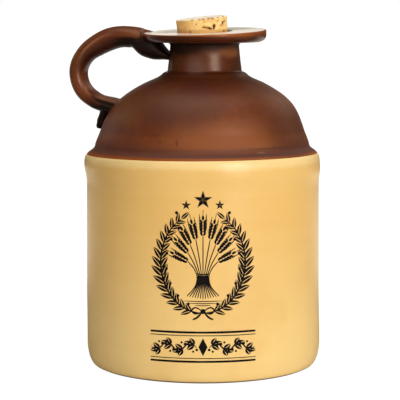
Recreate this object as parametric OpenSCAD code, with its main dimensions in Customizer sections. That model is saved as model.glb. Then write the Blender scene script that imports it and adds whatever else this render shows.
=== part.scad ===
// Half gallon stoneware crock jug: a cream wall under a brown shoulder, neck and saucer rim,
// a pulled strap handle and a tapered cork. Millimetres, +Z up, origin at the middle of the foot.
// The handle is on the -X side and the front faces -Y.

/* [Body] */
// Outside diameter of the wall just under the shoulder bead
body_d = 140.6; // [120:0.2:180]
// How much the wall's radius grows from there down to the heel
base_out = 0.6; // [0:0.1:3]
// Height of the ledge, where the cream wall ends and the brown shoulder begins
ledge_h = 128.2; // [90:0.2:170]
// How far the ledge is set in from the wall
ledge_in = 0.6; // [0.2:0.1:2.5]
// Thickness of the fired wall
wall_t = 6; // [4:0.5:8]
// Thickness of the floor
floor_t = 7; // [5:0.5:10]
// How far the bead at the top of the wall stands out
bead_out = 1.1; // [0.2:0.1:3]
// Height of the bead, down from the ledge
bead_h = 18; // [10:0.5:24]
// Height of the rounded heel
heel_h = 14; // [11:0.5:20]
// How far the heel draws in to the foot
heel_w = 5.3; // [3:0.1:9]
// Radius of the fillet between the floor and the wall, inside
floor_fillet = 8; // [4:0.5:12]
// Width of the flat foot ring
foot_ring_w = 9; // [6:0.5:14]
// Depth of the recess inside the foot ring
foot_recess = 1.4; // [0.5:0.1:2.5]
// Bevel round the outer edge of the foot
foot_bevel = 0.7; // [0.3:0.1:1.2]

/* [Shoulder] */
// How far the foot of the dome is set in from the ledge, across the concave flare between them
dome_in = 5; // [3:0.1:8]
// Height of the concave flare above the ledge
flare_h = 5.8; // [4:0.2:9]
// Height of the crease between shoulder and neck, above the ledge
dome_h = 49; // [40:0.5:64]

/* [Neck] */
// Outside diameter of the neck at its top
neck_top_d = 41.6; // [38:0.2:50]
// Outside diameter of the neck above its foot fillet
neck_base_d = 44.4; // [40:0.2:52]
// Height of the neck, from the crease to the underside of the rim
neck_h = 17.2; // [12:0.2:26]
// How far the neck is set off the axis of the body
neck_off = 1.1; // [0:0.1:2]
// Width of the fillet at the foot of the neck
neck_fillet = 1.6; // [0.8:0.1:2.4]
// Bore of the neck
bore_d = 32.6; // [30:0.1:34]

/* [Rim] */
// Outside diameter of the saucer rim
rim_d = 74.6; // [64:0.2:86]
// Mean thickness of the rim
rim_t = 6.7; // [5:0.1:9]
// Height of the upright face of the rim's edge
rim_face_h = 2.6; // [1.5:0.1:3.5]
// Width of the rounded underside of the rim's edge
rim_round_w = 6; // [4:0.2:9]
// Rise of the rim's underside from the neck out to that round
rim_rise = 1.4; // [0:0.1:2]
// Angle by which the rim's top dips towards the handle
rim_dip_side = 1.8; // [0:0.1:3]
// Angle by which the rim's top dips towards the front
rim_dip_front = 2.6; // [0:0.1:3]
// Width of the flat lip round the rim's dish
lip_w = 1.4; // [0.8:0.1:3]
// Depth of the dish
dish_depth = 0.5; // [0.3:0.1:1.2]
// Depth of the throat below the dish, down to the straight bore
throat_depth = 1.6; // [1:0.1:3]
// Width of the throat's round
throat_w = 1; // [0.7:0.1:1.8]

/* [Handle] */
// How far the handle stands out past the wall
handle_out = 12.9; // [8:0.1:26]
// Thickness of the strap at its outermost point
strap_t = 10.2; // [8:0.2:14]
// Width of the strap
strap_w = 18.4; // [14:0.2:24]
// Angle by which the handle is set back from the side of the jug
handle_turn = 13; // [0:1:20]
// Height of the strap's centre where it enters the shoulder, above the ledge
root_h = 27.6; // [24:0.2:32]
// Height of the strap's centre at its crown, below the rim's mean top
crown_drop = 3; // [1.6:0.2:4.6]
// Length of the clay wad under the strap's lower joint
wad_l = 12.6; // [9:0.2:18]
// Thickness of the wad at its tip
wad_t = 4.2; // [3:0.2:6]
// Width of the wad
wad_w = 13; // [9:0.5:18]

/* [Cork] */
// Diameter of the cork at its top
cork_d = 30.8; // [27:0.1:31]
// Length of the cork
cork_l = 28; // [24:0.5:32]
// Length of the cork that shows above the rim
cork_show = 9.2; // [6:0.2:12]
// Taper of the cork's side, from its axis
cork_taper = 2; // [1.5:0.1:4]
// Chamfer round the cork's two ends
cork_chamfer = 0.6; // [0.3:0.1:1.2]
// Angle by which the cork leans towards the handle
cork_lean_side = 4.6; // [0:0.1:4.8]
// Angle by which the cork leans towards the front
cork_lean_front = 2.6; // [0:0.1:3]
// Depth below the rim at which the cork's axis crosses the neck's
cork_cross = 12.4; // [9:0.1:13]

/* [Hidden] */
$fn = 144;

// Colours of the clay, the glazes and the cork
cream = [0.95, 0.80, 0.52];
buff = [0.82, 0.72, 0.56];
brown = [0.40, 0.22, 0.13];
cork_tan = [0.91, 0.72, 0.42];

// Overrun of every cut past the face it opens
over = 1;
// Steps of a short round and of a long curve
round_steps = 8;
curve_steps = 22;

body_r = body_d / 2;
base_r = body_r + base_out;
foot_r = base_r - heel_w;
ledge_r = body_r - ledge_in;
dome_r = ledge_r - dome_in;
dome_foot_h = ledge_h + flare_h;
crease_h = ledge_h + dome_h;
neck_top_r = neck_top_d / 2;
neck_base_r = neck_base_d / 2;
neck_foot_r = neck_base_r + neck_fillet;
bore_r = bore_d / 2;
rim_r = rim_d / 2;
rim_base_h = crease_h + neck_h;
mouth_h = rim_base_h + rim_t;

// Curve and profile helpers
function bezier(a, b, c, d, steps) =
    [for (i = [0 : steps])
        let (t = i / steps, u = 1 - t)
        u * u * u * a + 3 * u * u * t * b + 3 * u * t * t * c + t * t * t * d];
function backwards(points) = [for (i = [len(points) - 1 : -1 : 0]) points[i]];
function mix(a, b, t) = a * (1 - t) + b * t;
function inward(a, b) = let (d = (b - a) / norm(b - a)) [-d[1], d[0]];
// The same curve moved inwards by t, as the inner face of a wall
function inner_face(points, t) =
    let (last = len(points) - 1)
    [for (i = [0 : last]) points[i] + t * inward(points[max(i - 1, 0)], points[min(i + 1, last)])];

// The outer profile of the jug, from the foot to the crease, as [radius, height]
function heel_point(turn) = [foot_r + heel_w * sin(turn), heel_h * (1 - cos(turn))];
joint_turn = acos(1 - floor_t / heel_h);
bead_top_share = 0.38;
bead_belly_share = 0.35;
bead_crown_share = 0.75;
bead_foot = [body_r, ledge_h - bead_h];
bead_peak = [body_r + bead_out, ledge_h - bead_top_share * bead_h];
bead_end = [ledge_r, ledge_h];
bead_curve = concat(
    bezier(bead_foot, [body_r, mix(bead_foot[1], bead_peak[1], bead_belly_share)],
           [bead_peak[0], mix(bead_foot[1], bead_peak[1], 1 - bead_belly_share)], bead_peak, round_steps),
    [for (p = bezier(bead_peak, [bead_peak[0], mix(bead_peak[1], ledge_h, 0.5)],
                     [mix(ledge_r, bead_peak[0], 0.5), mix(bead_peak[1], ledge_h, bead_crown_share)],
                     bead_end, round_steps)) if (p[1] > bead_peak[1]) p]);
flare_in_share = 0.1;
flare_curve = bezier([ledge_r, ledge_h],
                     [mix(ledge_r, dome_r, flare_in_share), ledge_h + flare_h * 0.3],
                     [dome_r, ledge_h + flare_h * 0.5],
                     [dome_r, dome_foot_h], round_steps);
// Where the two middle points of the dome's curve lie, as shares of its width and height
dome_low_share = [0.82, 0.593];
dome_high_share = [0.708, 0.679];
dome_span = [dome_r - neck_foot_r, crease_h - dome_foot_h];
function dome_point(share) =
    [neck_foot_r + dome_span[0] * share[0], dome_foot_h + dome_span[1] * share[1]];
dome_curve = bezier([dome_r, dome_foot_h], dome_point(dome_low_share), dome_point(dome_high_share),
                    [neck_foot_r, crease_h], curve_steps);
shoulder_curve = concat(flare_curve, [for (i = [1 : curve_steps]) dome_curve[i]]);

// Inside of the wall, from a round where it meets the floor up to the ledge, one wall in from outside
wall_in_curve = concat(
    [for (i = [0 : round_steps])
        let (turn = 90 * i / round_steps)
        [base_r - wall_t - floor_fillet * (1 - sin(turn)), floor_t + floor_fillet * (1 - cos(turn))]],
    [[body_r - wall_t, ledge_h - bead_h], [ledge_r - wall_t, ledge_h]]);

module base_slab() {
    color(buff)
    rotate_extrude()
    polygon(concat(
        [[0, foot_recess], [foot_r - foot_ring_w - foot_recess, foot_recess],
         [foot_r - foot_ring_w, 0], [foot_r - foot_bevel, 0]],
        [for (i = [1 : round_steps]) heel_point(joint_turn * i / round_steps)],
        [[0, floor_t]]));
}

module crock_wall() {
    color(cream)
    rotate_extrude()
    polygon(concat(
        [for (i = [0 : round_steps]) heel_point(mix(joint_turn, 90, i / round_steps))],
        bead_curve,
        backwards(wall_in_curve)));
}

// Everything inside the shoulder's outer face, to cut what is set against it
module shoulder_core() {
    rotate_extrude()
    polygon(concat([[0, ledge_h]], shoulder_curve, [[0, crease_h]]));
}

module neck_bore() {
    translate([neck_off, 0, crease_h - wall_t * 3])
    cylinder(r = bore_r, h = mouth_h - crease_h + wall_t * 3 + rim_t);
}

module shoulder_dome() {
    inner = inner_face(shoulder_curve, wall_t);
    inner_end = inner[len(inner) - 1];
    hole_r = bore_r - neck_off - over;
    // The inner face runs on in a straight line to the hole
    slope = (inner_end - inner[len(inner) - 2]);
    hole_end = inner_end + slope * (inner_end[0] - hole_r) / -slope[0];
    color(brown)
    difference() {
        rotate_extrude()
        polygon(concat(shoulder_curve, [[hole_r, crease_h], hole_end],
                       backwards([for (p = inner) if (p[1] > ledge_h) p]), [[ledge_r - wall_t, ledge_h]]));
        neck_bore();
    }
}

// The neck's outer form down to below the crease, filled
neck_foot_curve = bezier([neck_foot_r, crease_h], [mix(neck_foot_r, neck_base_r, 0.7), crease_h],
                         [neck_base_r, crease_h + neck_fillet * 0.5],
                         [neck_base_r, crease_h + neck_fillet * 1.5], round_steps);
module neck_form(low) {
    translate([neck_off, 0, 0])
    rotate_extrude()
    polygon(concat([[0, low], [neck_foot_r, low]], neck_foot_curve,
                   [[neck_top_r, rim_base_h], [0, rim_base_h]]));
}

module neck_collar() {
    color(brown)
    difference() {
        neck_form(crease_h - neck_fillet);
        shoulder_core();
        neck_bore();
    }
}

// The rim's top plane dips towards the handle and the front
module at_mouth() {
    translate([neck_off, 0, mouth_h])
    rotate([rim_dip_front, -rim_dip_side, 0])
    children();
}

// The rim's form, filled, with its top cut along the dipping plane
module rim_form() {
    round_h = rim_base_h + rim_rise;
    face_h = rim_base_h + rim_t - rim_face_h;
    edge = bezier([rim_r - rim_round_w, round_h], [rim_r - rim_round_w * 0.6, round_h],
                  [rim_r - rim_round_w * 0.06, mix(round_h, face_h, 0.55)], [rim_r, face_h], round_steps);
    difference() {
        translate([neck_off, 0, 0])
        rotate_extrude()
        polygon(concat([[0, rim_base_h], [neck_top_r, rim_base_h]], edge,
                       [[rim_r, mouth_h + rim_t], [0, mouth_h + rim_t]]));
        at_mouth()
        cylinder(r = rim_r * 2, h = rim_t * 2);
    }
}

// The throat's side from inside the bore up to the dish, as [out, up] shares of the throat's width and
// depth, and the dish from there to the lip, as shares of its width and depth. Both run on past the
// face that they end in.
throat_shares = [[-0.6, -1.9], [0.3, -0.55], [0.65, -0.15], [1, 0]];
dish_shares = [[0.3, 0.06], [0.6, 0.2], [0.85, 0.5], [0.95, 0.75], [1.05, 1.25]];

module pour_rim() {
    throat_r = bore_r + throat_w;
    dish_w = rim_r - lip_w - throat_r;
    throat = [for (p = throat_shares) [bore_r + throat_w * p[0], throat_depth * p[1] - dish_depth]];
    dish = [for (p = dish_shares) [throat_r + dish_w * p[0], dish_depth * (p[1] - 1)]];
    color(brown)
    difference() {
        rim_form();
        at_mouth()
        rotate_extrude()
        polygon(concat([[0, throat[0][1]]], throat, dish,
                       [[dish[len(dish) - 1][0], over], [0, over]]));
        neck_bore();
    }
}

// The strap is lofted through stations from inside the shoulder, out and up over the crown, past the
// rim's edge and down to the neck. Each station is [out, up, thickness, width, tilt]: out is a share of the
// way from the body's axis to the strap's outermost centre, up a share of the way from the root to the
// crown, thickness and width shares of the strap's, and tilt the turn of its section from upright.
reach_out = body_r + handle_out - strap_t / 2;
root_up = ledge_h + root_h;
crown_up = mouth_h - crown_drop;
strap_shares = [
    [0.50, -0.10, 0.95, 1.15, 10],
    [0.67, -0.03, 0.92, 1.15, 12],
    [0.785, 0.027, 0.90, 1.06, 18],
    [0.863, 0.088, 0.94, 1.00, 30],
    [0.937, 0.182, 0.99, 0.98, 46],
    [0.983, 0.312, 0.99, 0.98, 68],
    [1.00, 0.478, 0.99, 1.00, 90],
    [0.981, 0.626, 1.07, 1.00, 112],
    [0.928, 0.764, 1.15, 1.00, 133],
    [0.849, 0.868, 1.29, 1.02, 152],
    [0.752, 0.954, 1.35, 1.06, 165],
    [0.656, 0.996, 1.28, 1.12, 175],
    [0.566, 0.99, 1.30, 1.22, 180],
    [0.502, 0.945, 1.56, 1.32, 180],
    [0.43, 0.898, 1.66, 1.30, 180],
    [0.385, 0.875, 1.56, 1.20, 180],
    [0.345, 0.82, 1.12, 1.08, 180],
    [0.29, 0.765, 0.62, 1.00, 180],
    [0.24, 0.745, 0.40, 0.94, 180],
    [0.16, 0.74, 0.36, 0.90, 180]];
strap_sides = 24;
strap_steps = 3;
section_power = 0.88;

// A smooth value between entries b and c of a row of four
function through(a, b, c, d, t) =
    0.5 * (2 * b + (c - a) * t + (2 * a - 5 * b + 4 * c - d) * t * t
           + (3 * b - a - 3 * c + d) * t * t * t);
function station(table, i) = table[max(0, min(len(table) - 1, i))];
function smooth_stations(table, steps) =
    [for (i = [0 : len(table) - 2], s = [0 : steps - 1])
        through(station(table, i - 1), table[i], table[i + 1], station(table, i + 2), s / steps),
     table[len(table) - 1]];
function rounded(v) = sign(v) * pow(abs(v), section_power);
// One ring of a strap: an oval of thickness t and width w about [out, up], turned by tilt
function oval_ring(out, up, t, w, tilt, sides) =
    [for (k = [0 : sides - 1])
        let (turn = 360 * k / sides, a = rounded(cos(turn)) * t / 2, b = rounded(sin(turn)) * w / 2)
        [-out - a * sin(tilt), b, up - a * cos(tilt)]];

module loft(rings) {
    sides = len(rings[0]);
    last = len(rings) - 1;
    points = [for (ring = rings, p = ring) p];
    skin = [for (i = [0 : last - 1], k = [0 : sides - 1])
        let (a = i * sides + k, b = i * sides + (k + 1) % sides)
        each [[a, b, b + sides], [a, b + sides, a + sides]]];
    caps = [[for (k = [sides - 1 : -1 : 0]) k], [for (k = [0 : sides - 1]) last * sides + k]];
    polyhedron(points, concat(skin, caps));
}

module strap_form() {
    rotate([0, 0, -handle_turn])
    loft([for (s = smooth_stations(strap_shares, strap_steps))
        oval_ring(reach_out * s[0], mix(root_up, crown_up, s[1]), strap_t * s[2], strap_w * s[3],
                  s[4], strap_sides)]);
}

module handle_strap() {
    color(brown)
    difference() {
        strap_form();
        shoulder_core();
        neck_form(ledge_h);
        rim_form();
    }
}

// The wad is a tapering tail of clay under the root, thick where it backs the strap and thin at its tip.
// Each station is [down, out, thickness, width]: shares of the wad's length, its tip's thickness and
// its width, with out measured from the shoulder's face.
wad_shares = [
    [-0.15, 0.4, 3.4, 0.85],
    [0.0, 0.4, 3.3, 1.0],
    [0.15, 0.4, 3.1, 1.0],
    [0.35, 0.35, 2.5, 1.0],
    [0.54, 0.3, 2.2, 0.97],
    [0.72, 0.3, 2.0, 0.92],
    [0.84, 0.3, 1.9, 0.85],
    [0.94, 0.2, 1.4, 0.65],
    [1.0, 0.0, 0.6, 0.35]];
wad_sides = 16;
wad_steps = 2;
// Radius of the shoulder's face at a height, between the points of its curve
function shoulder_r(h) = lookup(h, [for (p = shoulder_curve) [p[1], p[0]]]);

module handle_wad() {
    color(brown)
    difference() {
        rotate([0, 0, -handle_turn])
        loft([for (s = smooth_stations(wad_shares, wad_steps))
            let (h = root_up - wad_l * s[0])
            oval_ring(shoulder_r(h) + wad_t * s[1], h, wad_t * s[2], wad_w * s[3], 70, wad_sides)]);
        shoulder_core();
        strap_form();
    }
}

module cork_stopper() {
    top_r = cork_d / 2;
    foot_r = top_r - cork_l * tan(cork_taper);
    color(cork_tan)
    translate([neck_off, 0, mouth_h - cork_cross])
    rotate([cork_lean_front, -cork_lean_side, 0])
    translate([0, 0, cork_cross + cork_show - cork_l])
    rotate_extrude()
    polygon([[0, 0], [foot_r - cork_chamfer, 0], [foot_r, cork_chamfer],
             [top_r, cork_l - cork_chamfer], [top_r - cork_chamfer, cork_l], [0, cork_l]]);
}

base_slab();
crock_wall();
shoulder_dome();
neck_collar();
pour_rim();
handle_strap();
handle_wad();
cork_stopper();
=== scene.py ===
# %% [markdown]
# This is a half gallon stoneware jug: a cream glazed crock wall, a brown glazed shoulder, neck and
# saucer rim, a pulled strap handle, a natural cork and a print in black ink on the front. The solids
# are already there, so the job here is the surface: how clay shrinks and leans on the wheel, how a glaze
# pools and breaks, and how cork is pitted. Every piece is made in metres, in the frame of the solids.

# %% Load the solids as a fixed frame
import math

import bmesh
import bpy
import numpy as np
from mathutils import Matrix, Vector, noise


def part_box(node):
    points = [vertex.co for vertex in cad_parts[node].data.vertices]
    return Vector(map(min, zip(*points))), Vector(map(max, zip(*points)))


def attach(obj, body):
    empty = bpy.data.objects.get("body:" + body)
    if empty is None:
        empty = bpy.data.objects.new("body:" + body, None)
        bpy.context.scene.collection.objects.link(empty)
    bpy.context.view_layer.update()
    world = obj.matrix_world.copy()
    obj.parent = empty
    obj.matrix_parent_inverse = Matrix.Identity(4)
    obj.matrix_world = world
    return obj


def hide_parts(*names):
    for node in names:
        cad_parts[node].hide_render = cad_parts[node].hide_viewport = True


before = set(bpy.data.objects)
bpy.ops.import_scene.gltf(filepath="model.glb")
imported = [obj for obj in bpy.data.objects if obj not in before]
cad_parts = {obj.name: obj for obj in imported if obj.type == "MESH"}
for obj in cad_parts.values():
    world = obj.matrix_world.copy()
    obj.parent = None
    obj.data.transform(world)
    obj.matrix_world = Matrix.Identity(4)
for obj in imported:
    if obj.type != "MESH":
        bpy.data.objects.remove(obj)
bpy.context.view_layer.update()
MM = 0.001


def add_object(name, data):
    """A new object of this data in the scene."""
    obj = bpy.data.objects.new(name, data)
    bpy.context.scene.collection.objects.link(obj)
    return obj


# %% [markdown]
# A potter gives the sizes of a jug as diameters and heights. The ones below are those of the solids, and
# the heights that a solid's own box gives are read from the frame, so that they can't drift apart.

# %% Sizes of the jug
body_r = 70.3 * MM
base_r = 70.9 * MM
wall_t = 6 * MM
heel_w = 5.3 * MM
heel_h = 14 * MM
foot_r = base_r - heel_w
foot_ring_w = 9 * MM
foot_recess = 1.4 * MM
floor_fillet = 8 * MM
bead_h = 18 * MM
bead_out = 1.1 * MM
ledge_in = 0.6 * MM
ledge_r = body_r - ledge_in
dome_in = 5 * MM
dome_r = ledge_r - dome_in
flare_h = 5.8 * MM
floor_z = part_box("base_slab")[1].z
ledge_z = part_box("crock_wall")[1].z
crease_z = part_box("shoulder_dome")[1].z
mouth_z = crease_z + 23.9 * MM
neck_h = 17.2 * MM
neck_z = crease_z + neck_h
neck_top_r = 20.8 * MM
neck_base_r = 22.2 * MM
neck_fillet = 1.6 * MM
neck_off = 1.1 * MM
bore_r = 16.3 * MM
rim_r = 37.3 * MM
rim_side_dip = math.radians(1.8)
rim_front_dip = math.radians(2.75)
for label, z in (("ledge", ledge_z), ("crease", crease_z), ("mouth", mouth_z)):
    print(label, round(z / MM, 1), "mm up")

# %% [markdown]
# The photograph was taken with a long lens from about seven jug widths away, a little above the rim. The
# camera repeats that, because a short lens would open the ellipses of the foot, the ledge and the rim.

# %% Camera
camera_place = (-1.7 * MM, -1050 * MM, 215.4 * MM)
camera_pitch = math.radians(6.31)
camera_lens = 156.33

camera = add_object("Camera", bpy.data.cameras.new("Camera"))
camera.data.lens = camera_lens
camera.data.sensor_width = 36
camera.location = camera_place
camera.rotation_euler = (math.pi / 2 - camera_pitch, 0, 0)
bpy.context.scene.camera = camera
bpy.context.scene.view_settings.view_transform = "Standard"
print("camera", camera_place, "lens", camera_lens)

# %% [markdown]
# Two kinds of node tree are used here: Geometry Nodes for shapes that follow a rule, and shader nodes for
# the finishes. Both do a lot of arithmetic, so one small class stands for a socket and turns Python's own
# operators into Math nodes. Then a formula reads as a formula. Any other node comes from one method, which
# takes the node's type, its settings and the values of its sockets.

# %% Sockets as numbers
def as_linear(red, green, blue):
    """The linear colour of a screen colour given from 0 to 255."""
    share = [v / 255 for v in (red, green, blue)]
    return (*[v / 12.92 if v <= 0.04045 else ((v + 0.055) / 1.055) ** 2.4 for v in share], 1.0)


class Wire:
    """One output socket of a node, which adds, takes away, multiplies and divides like a number."""

    def __init__(self, kit, socket):
        self.kit = kit
        self.socket = socket

    def math(self, operation, *values):
        inputs = dict(enumerate(values))
        return self.kit.node("ShaderNodeMath", {"operation": operation}, inputs)

    def __add__(self, other):
        return self.math("ADD", self, other)

    def __sub__(self, other):
        return self.math("SUBTRACT", self, other)

    def __mul__(self, other):
        return self.math("MULTIPLY", self, other)

    def __truediv__(self, other):
        return self.math("DIVIDE", self, other)

    def __radd__(self, other):
        return self.math("ADD", other, self)

    def __rsub__(self, other):
        return self.math("SUBTRACT", other, self)

    def __rmul__(self, other):
        return self.math("MULTIPLY", other, self)

    def __rtruediv__(self, other):
        return self.math("DIVIDE", other, self)

    def out(self, name):
        """Another output of the same node."""
        return Wire(self.kit, self.socket.node.outputs[name])


class Kit:
    """Makes the nodes of one tree."""

    def __init__(self, tree):
        self.tree = tree

    def node(self, kind, settings=None, inputs=None, out=0):
        """Makes a node, sets its own options, and then fills its sockets with values or links."""
        made = self.tree.nodes.new(kind)
        for name, value in (settings or {}).items():
            setattr(made, name, value)
        for name, value in (inputs or {}).items():
            if isinstance(value, Wire):
                self.tree.links.new(value.socket, made.inputs[name])
            else:
                made.inputs[name].default_value = value
        return Wire(self, made.outputs[out])

    def vector(self, operation, *values, out=0):
        """A Vector Math node."""
        return self.node("ShaderNodeVectorMath", {"operation": operation}, dict(enumerate(values)), out)

    def smooth_step(self, value, low, high):
        """0 below low, 1 above high and a soft rise between them."""
        return self.node("ShaderNodeMapRange", {"interpolation_type": "SMOOTHSTEP"},
                         {"Value": value, "From Min": low, "From Max": high})


print("a Wire and a Kit stand ready")

# %% [markdown]
# A finish starts from the same few things: where the point is on the jug, noise at some size, and a mix of
# two colours. Noise that is stretched along one axis gives bands or streaks, which is how a wheel leaves
# its mark. The helper below scales the point before the noise reads it, so sizes are written as the size
# of a blotch in metres.

# %% Helpers for the finishes
class Finish(Kit):
    """The node tree of one material, which ends in a Principled shader."""

    def __init__(self, name):
        self.material = bpy.data.materials.new(name)
        self.material.use_nodes = True
        super().__init__(self.material.node_tree)
        self.shader = self.tree.nodes["Principled BSDF"]
        self.place = self.node("ShaderNodeTexCoord", out="Object")

    def along(self, axis):
        """How far the point lies along this axis of the jug, in metres."""
        return self.node("ShaderNodeSeparateXYZ", None, {"Vector": self.place}, out=axis)

    def blotches(self, size, detail=3.0, roughness=0.5, distortion=0.0, shift=0.0):
        """Noise from 0 to 1 whose blotches have this size along X, Y and Z."""
        size = (size,) * 3 if isinstance(size, (int, float)) else size
        scaled = self.node("ShaderNodeMapping", None, {"Vector": self.place, "Location": (shift,) * 3,
                                                       "Scale": tuple(1 / s for s in size)})
        return self.node("ShaderNodeTexNoise", None, {"Vector": scaled, "Scale": 1.0, "Detail": detail,
                                                      "Roughness": roughness, "Distortion": distortion})

    def specks(self, size, radius, crowd=1.0, shift=0.0):
        """1 inside small round specks, one in a cell of this size. crowd is the share of cells filled."""
        moved = self.node("ShaderNodeMapping", None, {"Vector": self.place, "Location": (shift,) * 3,
                                                      "Scale": (1 / size,) * 3})
        cell = self.node("ShaderNodeTexVoronoi", None, {"Vector": moved, "Scale": 1.0})
        chosen = self.node("ShaderNodeSeparateColor", None, {"Color": cell.out("Color")})
        picked = chosen.math("LESS_THAN", chosen, crowd)
        grown = radius / size * (0.45 + 0.55 * chosen.out("Green"))
        return picked * self.smooth_step(cell.out("Distance") / grown, 1.0, 0.72)

    def mix(self, low, high, share):
        """One colour turning into another."""
        return self.node("ShaderNodeMix", {"data_type": "RGBA"}, {0: share, 6: low, 7: high}, out=2)

    def tint(self, colour, tone, share):
        """The colour turning into a screen colour, given from 0 to 255."""
        return self.mix(colour, as_linear(*tone), share)

    def shade(self, colour, share):
        """The colour multiplied by a grey share, through a Mix node so that it stays a colour."""
        grey = self.node("ShaderNodeCombineColor", None, {"Red": share, "Green": share, "Blue": share})
        return self.node("ShaderNodeMix", {"data_type": "RGBA", "blend_type": "MULTIPLY"},
                         {0: 1.0, 6: colour, 7: grey}, out=2)

    def attribute(self, name):
        """A value that the piece's mesh carries at its points."""
        return self.node("ShaderNodeAttribute", {"attribute_name": name}, out="Fac")

    def bump(self, height, depth):
        """Raises the surface by height, from 0 to 1, times a depth in metres."""
        normal = self.node("ShaderNodeBump", None, {"Height": height * depth, "Distance": 1.0})
        self.tree.links.new(normal.socket, self.shader.inputs["Normal"])

    def set(self, **values):
        """Sets the shader's own sockets: Base_Color stands for Base Color."""
        for name, value in values.items():
            socket = self.shader.inputs[name.replace("_", " ")]
            if isinstance(value, Wire):
                self.tree.links.new(value.socket, socket)
            else:
                socket.default_value = value
        return self.material


print("Finish helpers ready")

# %% [markdown]
# The wall's glaze is a satin cream. Held in the hand it isn't one colour: the wheel leaves faint level
# bands, and the clay's iron burns through as pinhead specks. Low on the wall it is a little yellower, and
# a pale band just under the ledge is a painted highlight on the bead's upper curve. At the foot the glaze
# was wiped off, so the bare clay shows there, with a thin dark brown line round the outer edge of the
# foot.

# %% Cream glaze of the wall
def cream_glaze():
    f = Finish("Cream glaze")
    height = f.along("Z")
    bands = f.blotches((400 * MM, 400 * MM, 14 * MM), detail=3, roughness=0.6)
    clouds = f.blotches(38 * MM, detail=4, shift=3)
    fine = f.blotches((6 * MM, 6 * MM, 1.2 * MM), detail=5, shift=7)
    colour = f.mix(as_linear(240, 192, 110), as_linear(243, 197, 117), f.smooth_step(bands, 0.30, 0.70))
    colour = f.tint(colour, (255, 220, 146), 0.85 * f.smooth_step(height, 95 * MM, -15 * MM))
    colour = f.tint(colour, (235, 185, 104), 0.5 * f.smooth_step(clouds, 0.42, 0.75))
    # A pale band just under the ledge: a painted highlight on the bead's upper curve.
    painted_bead_highlight = f.smooth_step(height + 3 * MM * (fine - 0.5), ledge_z - 6 * MM, ledge_z - 2 * MM)
    colour = f.tint(colour, (255, 232, 172), 0.4 * painted_bead_highlight)
    colour = f.shade(colour, 0.985 + 0.03 * fine)
    specks = f.specks(13 * MM, 0.36 * MM, crowd=0.3)
    faint = f.specks(6 * MM, 0.25 * MM, crowd=0.16, shift=4)
    colour = f.tint(colour, (170, 112, 58), 0.5 * specks)
    colour = f.tint(colour, (212, 158, 90), 0.5 * faint)
    bare = f.smooth_step(f.attribute("bare") + 0.3 * f.blotches(9 * MM, shift=2), 0.62, 0.72)
    clay = f.mix(as_linear(196, 168, 130), as_linear(214, 190, 154), f.blotches(2 * MM, detail=6))
    colour = f.mix(colour, clay, bare)
    # A thin dark brown line round the outer edge of the foot, in its lowest 1.7 mm.
    from_axis = f.vector("LENGTH", f.vector("MULTIPLY", f.place, (1, 1, 0)), out="Value")
    outer = f.smooth_step(from_axis, foot_r + 0.2 * MM, foot_r + 0.8 * MM)
    foot_line_and_ink_wear = f.smooth_step(height, 1.7 * MM, 0.7 * MM) * outer
    colour = f.tint(colour, (92, 58, 26), 0.75 * foot_line_and_ink_wear)
    rough = 0.26 + 0.08 * f.blotches(5 * MM, detail=4) + 0.45 * bare
    rough_clay = 2.5 * bare * f.blotches(0.5 * MM, detail=6)
    f.bump(f.blotches(1.6 * MM, detail=3) + 0.8 * fine + rough_clay, 0.035 * MM)
    return f.set(Base_Color=colour, Roughness=rough, IOR=1.5, Specular_IOR_Level=0.36)


cream = cream_glaze()
print("cream glaze:", len(cream.node_tree.nodes), "nodes")

# %% [markdown]
# The shoulder's glaze is a reddish iron brown. It breaks to orange where it runs thin, over edges and high
# on a curve that faces the kiln's flame, and darkens where it pools, in the crease of the neck and in the
# joints of the handle. The pieces carry that as a value at each point, and the same value paints shade
# high on the dome, on the neck's top, on the rim's face and underside, and on the handle's undersides. Up
# to 1 the brown turns dark and red, and from there to 1.5 it turns black, which is painted shadow under
# the tongue by the rim and in the handle's lower joint.
#
# No dipped glaze is even. Two wide noises let it drift to olive and to plum, which is enough for the back.
# At the front some patches have places of their own: warm ones, which are painted light, dark ones, which
# are painted shade and shadow, a few small marks and two pale chips low on the dome. Each is an oval whose
# border the clouds of the glaze break up.

# %% Patches of glaze
# Each row holds a place and a reach along X, Y and Z, both in millimetres, a tone and its largest share.
PATCHES = [
    # Painted highlight: the key lamp's warm glow low on the dome's front right.
    [(15, -62, 134.5), (44, 52, 23), (140, 78, 40), 0.75],
    # Painted shadow: a thin dark line over the flare at the right.
    [(45, -50, 134.8), (28, 30, 0.8), (66, 32, 16), 0.55],
    # Painted shade: under the rim high on the front left, and on the right flank turned from the light.
    [(-15, -48, 158), (32, 30, 14), (78, 44, 30), 0.7],
    [(50, -36, 144), (20, 28, 28), (82, 41, 22), 0.65],
    # Small dark marks in the glaze, then two pale chips.
    [(-15, -61, 138.6), (0.9, 8, 2.2), (62, 30, 16), 0.6],
    [(-24.6, -58, 139.4), (0.9, 8, 0.8), (62, 30, 16), 0.6],
    [(41, -49, 136), (1.4, 8, 0.8), (84, 40, 16), 0.6],
    [(7, -54, 153.3), (1.0, 8, 2.4), (78, 44, 32), 0.6],
    [(33.3, -55, 132.6), (3.0, 7, 0.7), (190, 150, 124), 0.5],
    [(35.0, -58, 128.6), (1.4, 6, 0.8), (190, 150, 124), 0.5]]


def from_neck(rows):
    """The rows with their places counted from the middle of the neck's top."""
    return [[(x + neck_off / MM, y, z + neck_z / MM), *others] for (x, y, z), *others in rows]


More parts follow.
